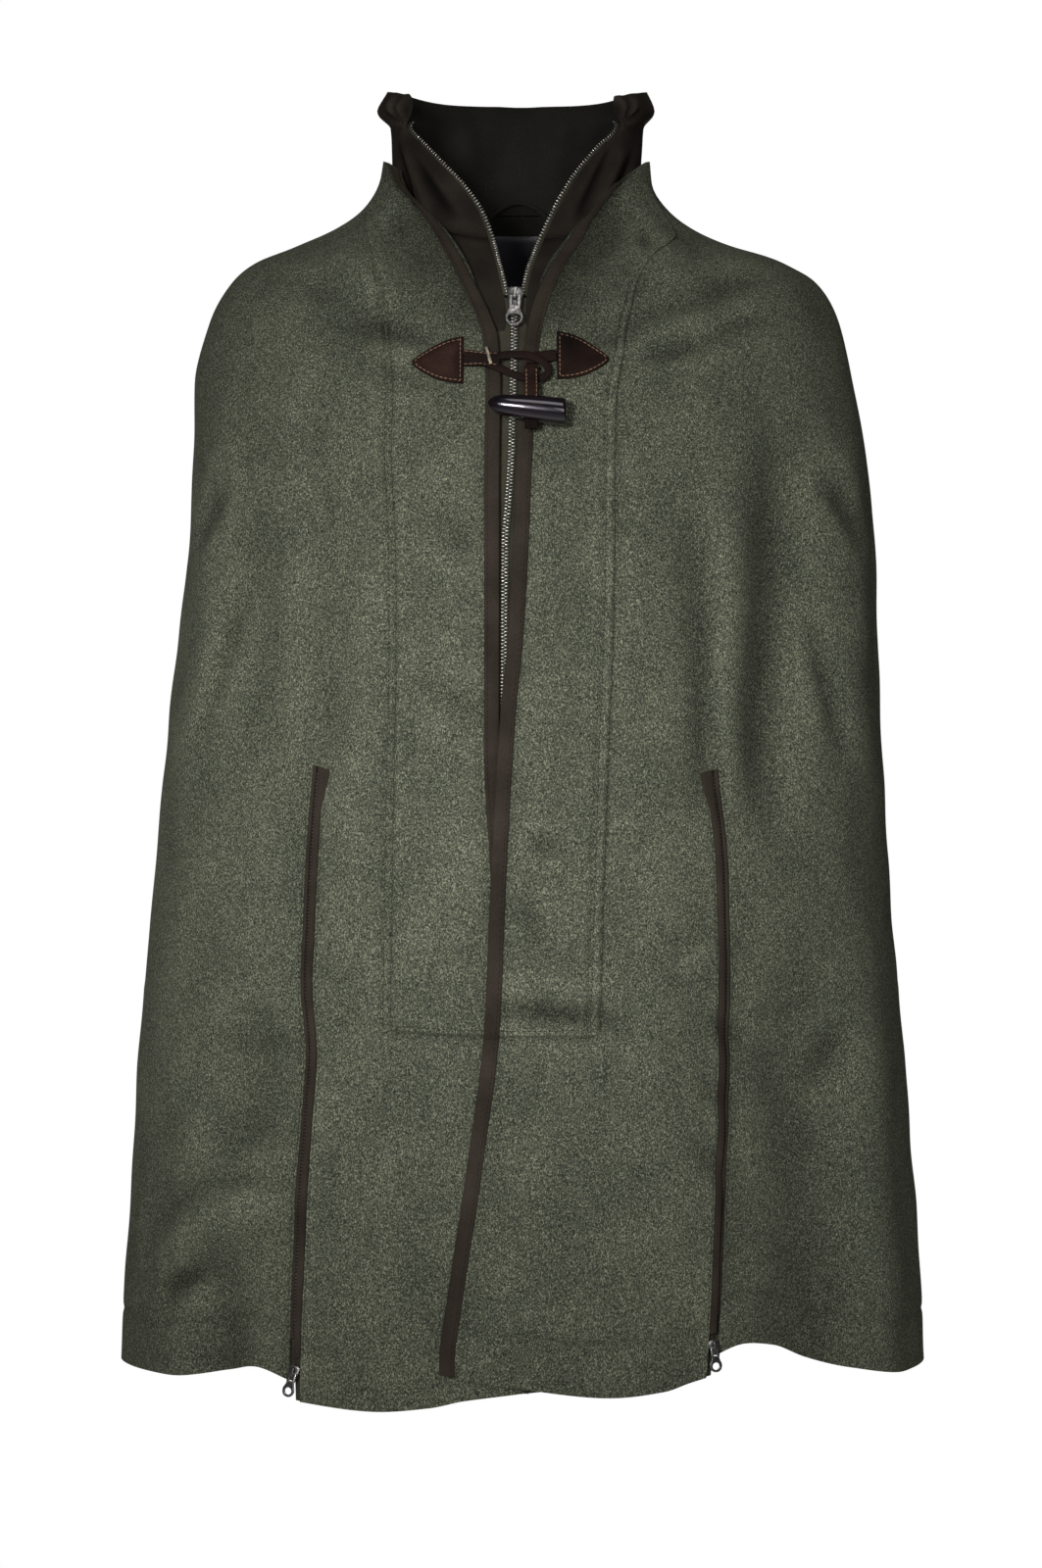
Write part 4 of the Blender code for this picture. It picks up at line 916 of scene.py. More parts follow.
def front_columns(side, stations):
    """Bearings of a front's columns, and which cell between columns is the slit."""
    sign = SIGN[side]
    edge = line_on("edge", side, stations)
    stitch = line_on("stitch", side, stations)
    slit = line_on("slit", side, stations)
    room = np.clip(np.abs(sign * 90 - edge) / 60, 0.25, 1) * sign
    band = cape.degrees(1.0, stitch, stations) * room
    ahead = slit - cape.degrees(SLIT_FRONT, slit, stations) * room
    behind = slit + cape.degrees(SLIT_BACK, slit, stations) * room
    seam = np.full(len(stations), sign * 90.0)
    bound = binding_line(side, stations)
    before, after = STITCH_BAND[side]
    marks = [edge, bound, stitch - band * before, stitch + band * after, ahead]
    columns = [edge]
    for start, end, part in zip(marks, marks[1:], COLUMNS):
        columns += [start + (end - start) * i / COLUMNS[part] for i in range(1, COLUMNS[part] + 1)]
    slit_cell = len(columns) - 1
    columns += [behind + (seam - behind) * i / COLUMNS["side"] for i in range(COLUMNS["side"] + 1)]
    return np.stack(columns, 1), slit_cell


def wool_front(side):
    """One front panel with its arm slit."""
    stations = cape.rows("collar_top", "hem", ROW_STEP)
    stations = np.union1d(stations, cape.station("bib_end") + np.array(BIB_ROWS))
    bearings, slit_cell = front_columns(side, stations)
    grid = each_row(stations, bearings)
    outer, normals = front(side, bearings, grid)
    thick = wool_wall(grid) + BIB_RISE * bib_share(side, bearings, grid)
    keep = np.ones((len(stations) - 1, bearings.shape[1] - 1), bool)
    keep[stations[:-1] >= cape.station("slit_top") - 0.01, slit_cell] = False
    # painted shade: hollows of the folds darker, ridges paler, and the hollow round the neck darker still
    shading_and_wear = painted_fold_shade(cape.point(bearings, grid), outer, normals)
    from_edge = bearings - line_on("edge", side, stations)[:, None]
    near = bell(from_edge, NECK_REACH)
    shading_and_wear = shading_and_wear * (1 - NECK_SHADE[side] * near * ramp(outer[..., 2], *NECK_HEIGHTS))
    inner = outer - normals * thick[..., None]
    piece = cloth_wall("wool_front_" + side, outer, inner, LODEN, keep, shading_and_wear=shading_and_wear)
    return declare(piece, replaces=["front_" + side])


wool_fronts = {side: wool_front(side) for side in SIGN}
for side, piece in wool_fronts.items():
    flat, area = FRONT_CUTS[side]
    print(piece.name, len(piece.data.polygons), "faces")

# %% Back and outer collar
# first ring, last ring, columns, mm between rows
BACK_PANELS = {"back": ("neck", "hem", 108, 4.2), "collar_back": ("collar_top", "neck", 84, 2.4)}


def wool_back(name):
    """Back panel below the neck seam, or the outer collar above it."""
    first, last, columns, spacing = BACK_PANELS[name]
    stations = cape.rows(first, last, spacing)
    bearings = np.tile(np.linspace(90, 270, columns + 1), (len(stations), 1))
    grid = each_row(stations, bearings)
    outer, normals = back(bearings, grid)
    # painted shade: hollows of the folds darker, ridges paler
    shading_and_wear = painted_fold_shade(cape.point(bearings, grid), outer, normals)
    inner = outer - normals * wool_wall(grid)[..., None]
    piece = cloth_wall("wool_" + name, outer, inner, LODEN, shading_and_wear=shading_and_wear)
    return declare(piece, replaces=[name])


wool_backs = {name: wool_back(name) for name in BACK_PANELS}
print("back:", [len(piece.data.polygons) for piece in wool_backs.values()], "faces")

# %% [markdown]
# ## Brown funnel collar
#
# The inner collar is a second skin of brown microfibre that stands up round the neck. Where the zip ends
# its corners are gathered, and small pleats run out from that point like the ribs of a fan. A fan is
# easier to write in polar coordinates round the corner than to pinch by hand.

# %% Inner collar
COLLAR_ARC = 1.45    # mm round the collar for one degree
COLLAR_COLUMNS = 231
COLLAR_WAVES = (22.0, 0.9, 8.0)   # soft dents, as in the wool
TAPE_SHOWN = 3.2     # mm of zip tape left in sight beside the teeth
TAPE_CLEAR = 0.5     # and the cloth beside it lies this far over it
PLEATS = 7
PLEAT_DEPTH = 1.2
PLEAT_REACH = 12.0   # mm from the zip's end to the middle of the pleats
PLEAT_HEIGHTS = (-10, 4)   # they grow between these heights over the zip's end
CORNER_HIGHLIGHT = 1.5    # painted highlight on the gathered corners, which face the light
CORNER_SPAN = 17.0   # mm
RIM_CLIMB = 5.0      # mm that the rim climbs behind the corners
CLIMB_AT = 112.0     # bearing where it is highest
CLIMB_SPAN = 24.0    # degrees
CLIMB_HEIGHTS = (40, 90)   # the cloth starts to climb and has climbed in full
CREASE_CONTRAST = 1.9   # the painted shade in the creases is made stronger here than in the wool
SEAM_SHADE = 0.55    # dark line where collar and facing are sewn together
SEAM_SPAN = 2.4      # mm
COLLAR_CREASES = [
    Fold("pull_right_a", -54, 40, -29, 2, 3, -2.4),
    Fold("pull_right_b", -63, 47, -36, -4, 4, 2.0),
    Fold("pull_right_c", -73, 52, -42, -12, 5, -3.6),
    Fold("pull_left_a", 47, 46, 26, 0, 3, -2.4),
    Fold("pull_left_b", 57, 46, 31, -6, 4, 2.0),
    Fold("pull_left_c", 68, 46, 36, -8, 5, -3.6),
    Fold("side_right", -110, 66, -104, 24, 8, -2.0),
    Fold("side_left", 112, 68, 106, 22, 8, -2.0),
    Fold("back_dent_a", 150, 88, 154, 40, 9, -1.6),
    Fold("back_dent_b", 206, 86, 202, 44, 9, -1.6),
    Fold("back_lip", 172, 92, 188, 92, 8, 1.2),
]


def zip_line(side, form, station):
    """Distance across of the teeth of the open zip at a station of the collar or the cape."""
    heights = [-row[0] for row in ZIP_EDGE[side]]
    places = [row[1] for row in ZIP_EDGE[side]]
    across = np.full(np.shape(station), places[-1], float)
    for _ in range(30):
        height = form.point(bearing_across(form, across, station), station)[..., 2]
        across = (across + smooth_curve(heights, places, -height)) / 2
    return across


def from_corner(side, bearing, height):
    """Distances round the collar and up from the end of the zip."""
    station = collar.station("zip_end")
    corner = bearing_across(collar, zip_line(side, collar, station) + SIGN[side] * TAPE_SHOWN, station)
    around = ((bearing - corner + 180) % 360 - 180) * SIGN[side] * COLLAR_ARC
    return around, height - collar.point(corner, station)[2]


def pleats(side, bearing, height):
    """Small ribs that run out from the end of the zip."""
    around, up = from_corner(side, bearing, height)
    ribs = np.sin(PLEATS * np.arctan2(up, around))
    near = bell(np.hypot(around, up) - PLEAT_REACH, PLEAT_REACH)
    return PLEAT_DEPTH * ribs * near * ramp(up, *PLEAT_HEIGHTS)


def collar_skin(bearing, station):
    """Outside of the funnel collar, and its normals."""
    points = collar.point(bearing, station)
    normals = collar.outward(bearing, station)
    height = points[..., 2]
    out = crease_depth(COLLAR_CREASES, bearing, height, COLLAR_ARC)
    out = out + pleats("right", bearing, height) + pleats("left", bearing, height)
    out = out + worn_waves(points, *COLLAR_WAVES)
    beside = np.abs((bearing + 180) % 360 - 180) - CLIMB_AT
    climb = RIM_CLIMB * bell(beside, CLIMB_SPAN) * ramp(height, *CLIMB_HEIGHTS)
    return points + normals * out[..., None] + climb[..., None] * np.array((0, 0, 1)), normals


stations = collar.rows("top", "seam", 2.0)
zip_sides = {}
for side in SIGN:
    line = zip_line(side, collar, stations) + SIGN[side] * TAPE_SHOWN
    zip_sides[side] = bearing_across(collar, line, stations)
turn = (360 + zip_sides["right"] - zip_sides["left"])[:, None]
bearings = zip_sides["left"][:, None] + turn * np.linspace(0, 1, COLLAR_COLUMNS)
grid = each_row(stations, bearings)
outer, normals = collar_skin(bearings, grid)
outer = outer + normals * TAPE_CLEAR
# painted shade in the creases, a painted highlight on the gathered corners, and a dark line along the seam
shading_and_wear = painted_fold_shade(collar.point(bearings, grid), outer, normals) ** CREASE_CONTRAST
for side in SIGN:
    reach = np.hypot(*from_corner(side, bearings, outer[..., 2] - PLEAT_REACH / 2))
    shading_and_wear = shading_and_wear * (1 + CORNER_HIGHLIGHT * bell(reach, CORNER_SPAN))
from_seam = np.linalg.norm(outer - outer[-1:], axis=-1)
shading_and_wear = shading_and_wear * (1 - SEAM_SHADE * bell(from_seam, SEAM_SPAN))
inner_collar = cloth_wall("microfibre_collar", outer, outer - normals * COLLAR_WALL, SHADED_MICROFIBRE,
                          inside=SHADED_INSIDE, rim=0.5, shading_and_wear=shading_and_wear)
declare(inner_collar, replaces=["collar_inner"])
print(inner_collar.name, len(inner_collar.data.polygons), "faces")

# %% [markdown]
# ## Facings, neck band and lining
#
# Below the collar seam a brown facing lies behind each front edge, and a brown band covers the seam at
# the back of the neck. Under the band the satin lining of the back shows through the open neck. Only
# what can be seen is made, as in the solids.

# %% Facings beside the zip
FACING_WIDE = 24.0
THROAT = [(36, 3.4), (49, 2.9), (64, 2.9), (84, 3.4)]   # edge of the facing below the seam: depth, inset
FACING_WAVES = (16.0, 0.7, 5.0)   # soft dents, as in the wool


def refine(grid, count):
    """More rows between the rows of a grid, on smooth curves."""
    flat = grid.reshape(len(grid), -1)
    at = np.linspace(0, len(grid) - 1, count)
    lines = [smooth_curve(np.arange(len(grid)), line, at) for line in flat.T]
    return np.stack(lines, 1).reshape(count, *grid.shape[1:])


def throat(side, distance, count=25):
    """Rows from the collar seam to the slider, each at distances out from the zip line."""
    places = [(collar, collar.station("seam"), 0.0)]
    places += [(cape, cape.at_depth(depth), inset) for depth, inset in THROAT]
    rows = []
    for form, station, inset in places:
        line = zip_line(side, form, station) + SIGN[side] * np.asarray(distance, float)
        bearing = bearing_across(form, line, station)
        normal = form.outward(bearing, station)
        rows.append((form.point(bearing, station) - normal * inset, normal))
    points = np.stack([row[0] for row in rows])
    points[0, :, 2] -= GAP
    return refine(points, count), unit(refine(np.stack([row[1] for row in rows]), count))


for side in SIGN:
    points, normals = throat(side, np.linspace(TAPE_SHOWN, TAPE_WIDE + FACING_WIDE, 29))
    points = points + normals * (TAPE_CLEAR + worn_waves(points, *FACING_WAVES))[..., None]
    from_seam = np.linalg.norm(points - points[:1], axis=-1)
    shading_and_wear = 1 - SEAM_SHADE * bell(from_seam, SEAM_SPAN)
    piece = cloth_wall("microfibre_facing_" + side, points, points - normals * SUEDE, SHADED_MICROFIBRE,
                       rim=0.3, shading_and_wear=shading_and_wear)
    declare(piece, replaces=["facing_" + side])
    print(piece.name, len(piece.data.polygons), "faces")

# %% Neck band and lining
BAND_BEARINGS = (132, 228)
LINING_BEARINGS = (117, 243)
LINING_TOP = 8.0       # height where the lining starts, under the band
LINING_GAP = 0.5       # air between it and the wool
SATIN_ROLL = 4.0       # mm that the lining rolls forward, where it catches the light
ROLL_HEIGHT = -40.0
ROLL_SPAN = 11.0

stations = neck_band.rows("top", "bottom", 1.5)
bearings = np.tile(np.linspace(*BAND_BEARINGS, 61), (len(stations), 1))
grid = each_row(stations, bearings)
points = neck_band.point(bearings, grid)
normals = neck_band.outward(bearings, grid)
neck_facing = cloth_wall("microfibre_neck_band", points, points - normals * SUEDE, SHADED_INSIDE, rim=0.3)
declare(neck_facing, replaces=["neck_facing"])

stations = cape.rows("neck", "chest", 4.0)
stations = stations[stations > cape.at_depth(-LINING_TOP, "back_z")]
bearings = np.tile(np.linspace(*LINING_BEARINGS, 61), (len(stations), 1))
outer, normals = back(bearings, each_row(stations, bearings))
roll = SATIN_ROLL * bell(outer[..., 2] - ROLL_HEIGHT, ROLL_SPAN)
outer = outer - normals * (WOOL + LINING_GAP + roll)[..., None]
lining = cloth_wall("satin_lining", outer, outer - normals * SATIN, SATIN_CLOTH, rim=0.2)
declare(lining, replaces=["back_lining"])
print("neck inside:", neck_facing.name, lining.name)

# %% Hanger loop
LOOP_SPAN = (-24.0, 20.0)      # feet of the hanger loop, across
LOOP_FOOT = 13.5               # height of its feet
LOOP_RISE = 14.5               # and how far it arches over them
LOOP_THICK = 1.9               # radius of the folded strip
LOOP_CLEAR = 0.7               # air behind it
BAND_HIGH = 18.0               # the loop lies on the collar above this height, and on the band below


def tube(name, path, radius, finish, sides=14):
    """Round closed tube through a list of points."""
    ways = unit(np.gradient(path, axis=0))
    wide = unit(np.cross(ways, (0, 1, 0)))
    other = np.cross(ways, wide)
    turns = 2 * np.pi * np.arange(sides) / sides
    aside = np.cos(turns)[:, None] * wide[:, None] + np.sin(turns)[:, None] * other[:, None]
    return loft(name, path[:, None] + radius * aside, finish, False)


def loft(name, rings, finish, closed):
    """Skin through rings of equal count, with end caps or closed on itself."""
    count, sides = rings.shape[:2]
    number = np.arange(count * sides).reshape(count, sides)
    if closed:
        number = np.concatenate([number, number[:1]])
    ahead = np.roll(number, -1, axis=1)
    faces = np.stack([number[:-1], ahead[:-1], ahead[1:], number[1:]], -1).reshape(-1, 4).tolist()
    if not closed:
        faces += [number[0][::-1].tolist(), number[-1].tolist()]
    piece = new_piece(name, rings.reshape(-1, 3), faces, finish)
    only(piece)
    bpy.ops.object.shade_smooth_by_angle(angle=SMOOTH)
    return piece


share = np.linspace(0, 1, 41)
heights = LOOP_FOOT + LOOP_RISE * np.sin(np.pi * share) ** 0.7
spread = LOOP_SPAN[0] + (LOOP_SPAN[1] - LOOP_SPAN[0]) * share
path = []
for height, across in zip(heights, spread):
    form, thick = (collar, COLLAR_WALL) if height >= BAND_HIGH else (neck_band, SUEDE)
    station = form.at_depth(-height, "back_z")
    bearing = 180 - bearing_across(form, across, station)
    inward = form.outward(bearing, station) * (thick + LOOP_CLEAR + LOOP_THICK)
    path.append(form.point(bearing, station) - inward)
hanger = tube("microfibre_hanger_loop", np.array(path), LOOP_THICK, SHADED_INSIDE)
declare(hanger, replaces=["hanger_loop"])
print(hanger.name, len(hanger.data.polygons), "faces")

# %% [markdown]
# ## Trim on the fronts
#
# A brown strip binds each front edge from the collar corner to the hem, and at the neck a narrow roll of
# wool shows inside it. Two narrow welts cover each arm zip, so that only a dark line shows between them.
# All of these are strips that follow the wool: they are given by two lines of bearings and a profile, a
# list of shares across with the top and underside.

# %% Bindings
BINDING_PROFILE = [(-0.07, 0.6, -2.0), (-0.03, 1.0, -2.1), (0.02, 1.25, 0.05), (0.3, 1.35, 0.05),
                   (0.6, 1.3, 0.05), (0.76, 0.95, 0.05), (0.86, 1.15, 0.05), (0.97, 0.9, 0.05),
                   (1.0, 0.4, 0.05)]

for side in SIGN:
    stations = cape.rows("collar_top", "hem", ROW_STEP)
    ends = (line_on("edge", side, stations), binding_line(side, stations))
    piece = strip_on_front("microfibre_binding_" + side, side, stations, ends, BINDING_PROFILE, MICROFIBRE)
    declare(piece, replaces=["binding_" + side])
    print(piece.name, len(piece.data.polygons), "faces")

# %% Rolls of wool at the neck
RIDGE_PROFILE = [(0, -0.8, -1.6), (0.25, 0.1, -1.6), (0.5, 0.4, -1.6), (0.75, 0.1, -1.6), (1, -0.8, -1.6)]
RIDGE_START = 0.9    # mm in from the bound edge
RIDGE_WIDE = 3.6     # at its middle; it runs out at both ends
RIDGE_TOP = 8.0      # mm down the cloth to where it starts
RIDGE_DEPTH = 50.0   # depth where it ends
RIDGE_ROWS = 50
RIDGE_SHADE = 0.5    # it lies in the shadow of the collar

for side in SIGN:
    stations = np.linspace(cape.station("collar_top") + RIDGE_TOP, cape.at_depth(RIDGE_DEPTH), RIDGE_ROWS)
    edge = line_on("edge", side, stations)
    one = cape.degrees(1.0, edge, stations) * SIGN[side]
    wide = RIDGE_WIDE * (0.12 + 0.88 * np.sin(np.linspace(0, np.pi, RIDGE_ROWS)))
    ends = (edge - one * RIDGE_START, edge - one * (RIDGE_START + wide))
    piece = strip_on_front("wool_edge_ridge_" + side, side, stations, ends, RIDGE_PROFILE, LODEN,
                           shade=RIDGE_SHADE)
    declare(piece)
print("ridges beside the bindings at the neck")

# %% Arm slit welts and zip tapes
WELT_PROFILE = [(0, -0.6, -1.4), (0.12, 0.5, -1.4), (0.35, 0.8, -1.4), (0.7, 0.8, -1.4), (0.9, 0.5, -1.4),
                (1, -0.6, -1.4)]
WELTS = {"front": (-SLIT_FRONT + GAP, -0.5), "back": (0.5, SLIT_BACK - GAP)}   # mm from the closing line
WELT_END = 25.0      # the welts stop this far above the hem, where the slider sits
WELT_FLARE = 5.0     # the front welt is this much wider at the top of the slit
FLARE_LONG = 34.0    # and narrows over this length
TAPE_PLACES = (-6.8, 4.2)   # mm from the closing line
TAPE_BEHIND = 0.5    # air between wool and tape
TAPE_THICK = 0.7


def slit_line(side, stations, distance):
    """Bearings beside an arm slit."""
    slit = line_on("slit", side, stations)
    return slit + cape.degrees(1.0, slit, stations) * SIGN[side] * distance


for side in SIGN:
    stations = cape.rows("slit_top", "hem", 3.5)
    ends = [slit_line(side, stations, place) for place in TAPE_PLACES]
    bearings = ends[0][:, None] + (ends[1] - ends[0])[:, None] * np.linspace(0, 1, 7)
    points, normals = front(side, bearings, each_row(stations, bearings))
    outer = points - normals * (wool_wall(stations) + TAPE_BEHIND)[:, None, None]
    tape = cloth_wall("slit_zip_tape_" + side, outer, outer - normals * TAPE_THICK, TAPE, rim=0.15)
    declare(tape, replaces=["slit_tape_" + side])
    stations = stations[stations < cape.station("hem") - WELT_END] + GAP
    for part, (start, end) in WELTS.items():
        flare = WELT_FLARE * (1 - ramp(stations - stations[0], 0, FLARE_LONG)) if part == "front" else 0
        ends = (slit_line(side, stations, start - flare), slit_line(side, stations, end))
        name = "slit_welt_%s_%s" % (part, side)
        piece = strip_on_front("microfibre_" + name, side, stations, ends, WELT_PROFILE, MICROFIBRE, 0.2)
        declare(piece, replaces=[name])
    print("arm slit", side, "trimmed")

# %% [markdown]
# ## The zips
#
# A metal zip is two rows of teeth clamped on tape. One tooth is modelled from a cube, then copied
# along the line of the zip. Below the slider the two rows mesh, so the second row is moved on by
# half a pitch. Above it the rows part and follow the edges of the collar.

# %% One tooth and one stitch
TOOTH_PITCH = 2.2
TOOTH = (1.0, 2.9, 1.9)       # along, across, out
TOOTH_BEVEL = 0.28
SLIT_TOOTH = (1.2, 3.4, 1.2)  # a tooth of the arm zips spans both rows
SLIT_BEVEL = 0.25
STITCH = (2.6, 0.55, 0.5)


def add_cube():
    """Cube of size one at the origin."""
    bpy.ops.mesh.primitive_cube_add(size=1.0)


def add_bead():
    """Coarse ball of width one at the origin."""
    bpy.ops.mesh.primitive_uv_sphere_add(segments=8, ring_count=5, radius=0.5)


def small_shape(name, add, size, bevel):
    """Small shape at the origin in millimetres, to be copied many times and then removed."""
    bpy.ops.object.select_all(action="DESELECT")
    add()
    shape = bpy.context.object
    shape.name = name
    bpy.ops.object.mode_set(mode="EDIT")
    bpy.ops.mesh.select_all(action="SELECT")
    bpy.ops.transform.resize(value=size, center_override=(0, 0, 0))
    if bevel:
        bpy.ops.mesh.bevel(offset=bevel, segments=1, affect="EDGES")
    bpy.ops.object.mode_set(mode="OBJECT")
    return shape


tooth = small_shape("tooth", add_cube, TOOTH, TOOTH_BEVEL)
stitch_shape = small_shape("stitch", add_bead, STITCH, 0)
print("tooth:", len(tooth.data.polygons), "faces, stitch:", len(stitch_shape.data.polygons), "faces")

# %% Open part of the main zip
THROAT_ROWS = 34
OPEN_ROWS = 20       # the slider hides the rest
TAPE_DISTANCE = (TAPE_WIDE - GAP, 4.2, 2.6, 1.6, 0.6, -0.3)   # from the line of the teeth
TAPE_TOP = (-0.9, -0.8, -0.3, 0.1, 0.3, 0.3)
TAPE_LOW = (-1.6, -1.5, -1.3, -1.3, -1.3, -1.3)
STOP_UP = 1.7        # mm from the first tooth to the stop over it
STOP_LONG = 2.0      # the stop is this many times as long as a tooth
STOP_THICK = 1.35    # and this many times as thick


def open_zip(side, distance):
    """Rows down the open zip from the collar corner to the slider, at distances from the teeth line."""
    distance = np.asarray(distance, float)
    stations = collar.rows("zip_end", "seam", 2.5)[:-1, None]
    line = zip_line(side, collar, stations[:, 0])[:, None]
    bearings = bearing_across(collar, line + SIGN[side] * distance, stations)
    points = collar.point(bearings, stations + 0 * bearings)
    normals = collar.outward(bearings, stations + 0 * bearings)
    below, below_normals = throat(side, distance, THROAT_ROWS)
    shown = slice(0, OPEN_ROWS)
    return np.concatenate([points, below[shown]]), np.concatenate([normals, below_normals[shown]])


for side in SIGN:
    points, normals = open_zip(side, TAPE_DISTANCE)
    outer = points + normals * np.array(TAPE_TOP)[:, None]
    inner = points + normals * np.array(TAPE_LOW)[:, None]
    tape = cloth_wall("main_zip_tape_" + side, outer, inner, TAPE, rim=0.15)
    declare(tape, replaces=["zip_tape_" + side])
    points, normals = open_zip(side, [0.2, 1.0])
    spots, ways, outs = resample(points[:, 0] - normals[:, 0] * 0.5, normals[:, 0], TOOTH_PITCH)
    declare(copies("main_zip_teeth_" + side, tooth, spots, ways, outs, TEETH_METAL))
    stop_spot = spots[:1] - ways[:1] * STOP_UP
    declare(copies("main_zip_top_stop_" + side, tooth, stop_spot, ways[:1] * STOP_LONG,
                   outs[:1] * STOP_THICK, NICKEL))
    print(tape.name, "with", len(spots), "teeth")

# %% Closed part of the main zip and the arm zips
CHAIN_TAPE = (13.0, 8.0)     # mm of tape right and left of the middle
CHAIN_DEPTHS = (55.0, 345.0)
CHAIN_BEHIND = -(WOOL + BIB_RISE + 0.6)
TEETH_APART = 1.05   # a row of teeth lies this far from the middle of the chain
TEETH_LIFT = -2.2    # from the face of the wool to the teeth, which lie behind it
SLIT_LIFT = -1.9     # the same for the arm zips
SLIT_ENDS = (4, 22)  # mm without teeth at the top and at the hem of an arm zip
RIB = 1.2            # the middle of the tape stands up this far under the teeth

stations = np.linspace(*cape.at_depth(np.array(CHAIN_DEPTHS)), 90)
middle = cape.bearing_of(CHAIN, stations)
one = cape.degrees(1.0, middle, stations)
ends = (middle - one * CHAIN_TAPE[0], middle + one * CHAIN_TAPE[1])
rib = CHAIN_BEHIND + RIB
back_face = CHAIN_BEHIND - TAPE_THICK
middle_share = CHAIN_TAPE[0] / sum(CHAIN_TAPE)
profile = [(0, CHAIN_BEHIND, back_face), (middle_share - 0.16, CHAIN_BEHIND + 0.1, back_face),
           (middle_share - 0.1, rib, back_face), (middle_share + 0.1, rib, back_face),
           (middle_share + 0.16, CHAIN_BEHIND + 0.1, back_face), (1, CHAIN_BEHIND, back_face)]
chain_tape = strip_on_front("main_zip_tape_closed", "right", stations, ends, profile, TAPE, 0.1)
declare(chain_tape, replaces=["zip_chain"])


def teeth_row(name, side, stations, bearings, lift, start, shape):
    """Row of teeth on a line of a front, from a share of a pitch on."""
    points, normals = front(side, bearings, stations)
    spots, ways, outs = resample(points + normals * lift, normals, TOOTH_PITCH)
    spots = spots + ways * TOOTH_PITCH * start
    return declare(copies(name, shape, spots, ways, outs, TEETH_METAL))


for part, apart, start in (("a", -TEETH_APART, 0.0), ("b", TEETH_APART, 0.5)):
    teeth_row("main_zip_chain_" + part, "right", stations, middle + one * apart, TEETH_LIFT, start, tooth)
slit_tooth = small_shape("slit_tooth", add_cube, SLIT_TOOTH, SLIT_BEVEL)
for side in SIGN:
    rows = cape.rows("slit_top", "hem", 4.0)
    rows = rows[(rows > rows[0] + SLIT_ENDS[0]) & (rows < rows[-1] - SLIT_ENDS[1])]
    teeth_row("slit_zip_teeth_" + side, side, rows, slit_line(side, rows, 0.0), SLIT_LIFT, 0.0, slit_tooth)
print("zip chains made")

# %% [markdown]
# ## Stitching
#
# Stitches are real geometry here, small drawn-out beads that lie in the grooves made for them, because
# the light on thread is what makes a seam look sewn. Each row follows its piece a set distance over
# the cloth, and only the spacing and the thread differ.

# %% Rows of stitches
BINDING_STITCH = 3.6   # mm from stitch to stitch
LODEN_STITCH = 3.4
LEATHER_STITCH = 3.1
COLLAR_STITCH = 4.2
BINDING_LINE = 0.76    # the stitches lie at this share of the binding's width
BESIDE_SLIT = 1.6      # mm from the welts to the stitches beside them


def stitch_row(name, points, normals, spacing, thread, lift=0.15):
    """Row of stitches along a line."""
    spots, ways, outs = resample(points + normals * lift, normals, spacing)
    return declare(copies(name, stitch_shape, spots, ways, outs, thread))


for side in SIGN:
    stations = cape.rows("collar_mid", "hem", 4.0)
    edge = line_on("edge", side, stations)
    bearings = edge + (binding_line(side, stations) - edge) * BINDING_LINE
    points, normals = front(side, bearings, stations)
    stitch_row("stitches_binding_" + side, points, normals, BINDING_STITCH, DARK_THREAD, lift=1.05)
    stations = cape.rows("shoulder_in", "bib_end", 4.0)
    stitch = line_on("stitch", side, stations)
    one = cape.degrees(1.0, stitch, stations) * SIGN[side]
    for k, apart in enumerate((0.0, STITCH_APART[side])):
        points, normals = front(side, stitch + one * apart, stations)
        stitch_row("stitches_bib_%s_%d" % (side, k), points, normals, LODEN_STITCH, LODEN_THREAD, lift=0.12)
    row = np.array(cape.station("bib_end") - 2.5)
    bearings = np.linspace(binding_line(side, row), line_on("stitch", side, row), 30)
    points, normals = front(side, bearings, row)
    stitch_row("stitches_bib_end_" + side, points, normals, LODEN_STITCH, LODEN_THREAD, lift=0.12)
    stations = cape.rows("slit_top", "hem", 4.0)
    stations = stations[stations < cape.station("hem") - WELT_END - 2] + 1
    for k, distance in enumerate((-SLIT_FRONT - BESIDE_SLIT, SLIT_BACK + BESIDE_SLIT)):
        points, normals = front(side, slit_line(side, stations, distance), stations)
        stitch_row("stitches_slit_%s_%d" % (side, k), points, normals, LODEN_STITCH, LODEN_THREAD, lift=0.1)
    print("front", side, "stitched")

# %% Stitched lines inside the collar
COLLAR_LINES = [(158, 88, 162, 30), (163, 78, 170, 34), (176, 90, 178, 36), (181, 90, 181, 40),
                (186, 84, 194, 34), (199, 88, 196, 30)]      # bearing and height of both ends
for k, (top_bearing, top_z, low_bearing, low_z) in enumerate(COLLAR_LINES):
    bearings = np.linspace(top_bearing, low_bearing, 30)
    rows = collar.at_depth(-np.linspace(top_z, low_z, 30), "back_z")
    points, normals = collar_skin(bearings, rows)
    inner = points - normals * COLLAR_WALL
    stitch_row("stitches_collar_%d" % k, inner, -normals, COLLAR_STITCH, LODEN_THREAD, lift=0.1)

# %% [markdown]
# ## Leather of the toggle closure
#
# Two leather patches are sewn to the bib, each an arch that ends in a tip. A strap runs from the right
# patch through a metal keeper to a loop, and a short strap holds the loop's other end. The leather lies
# on the cloth, so each piece is a grid of places, across and up, dropped onto the front. A tan stitch
# line follows the rim of each patch.

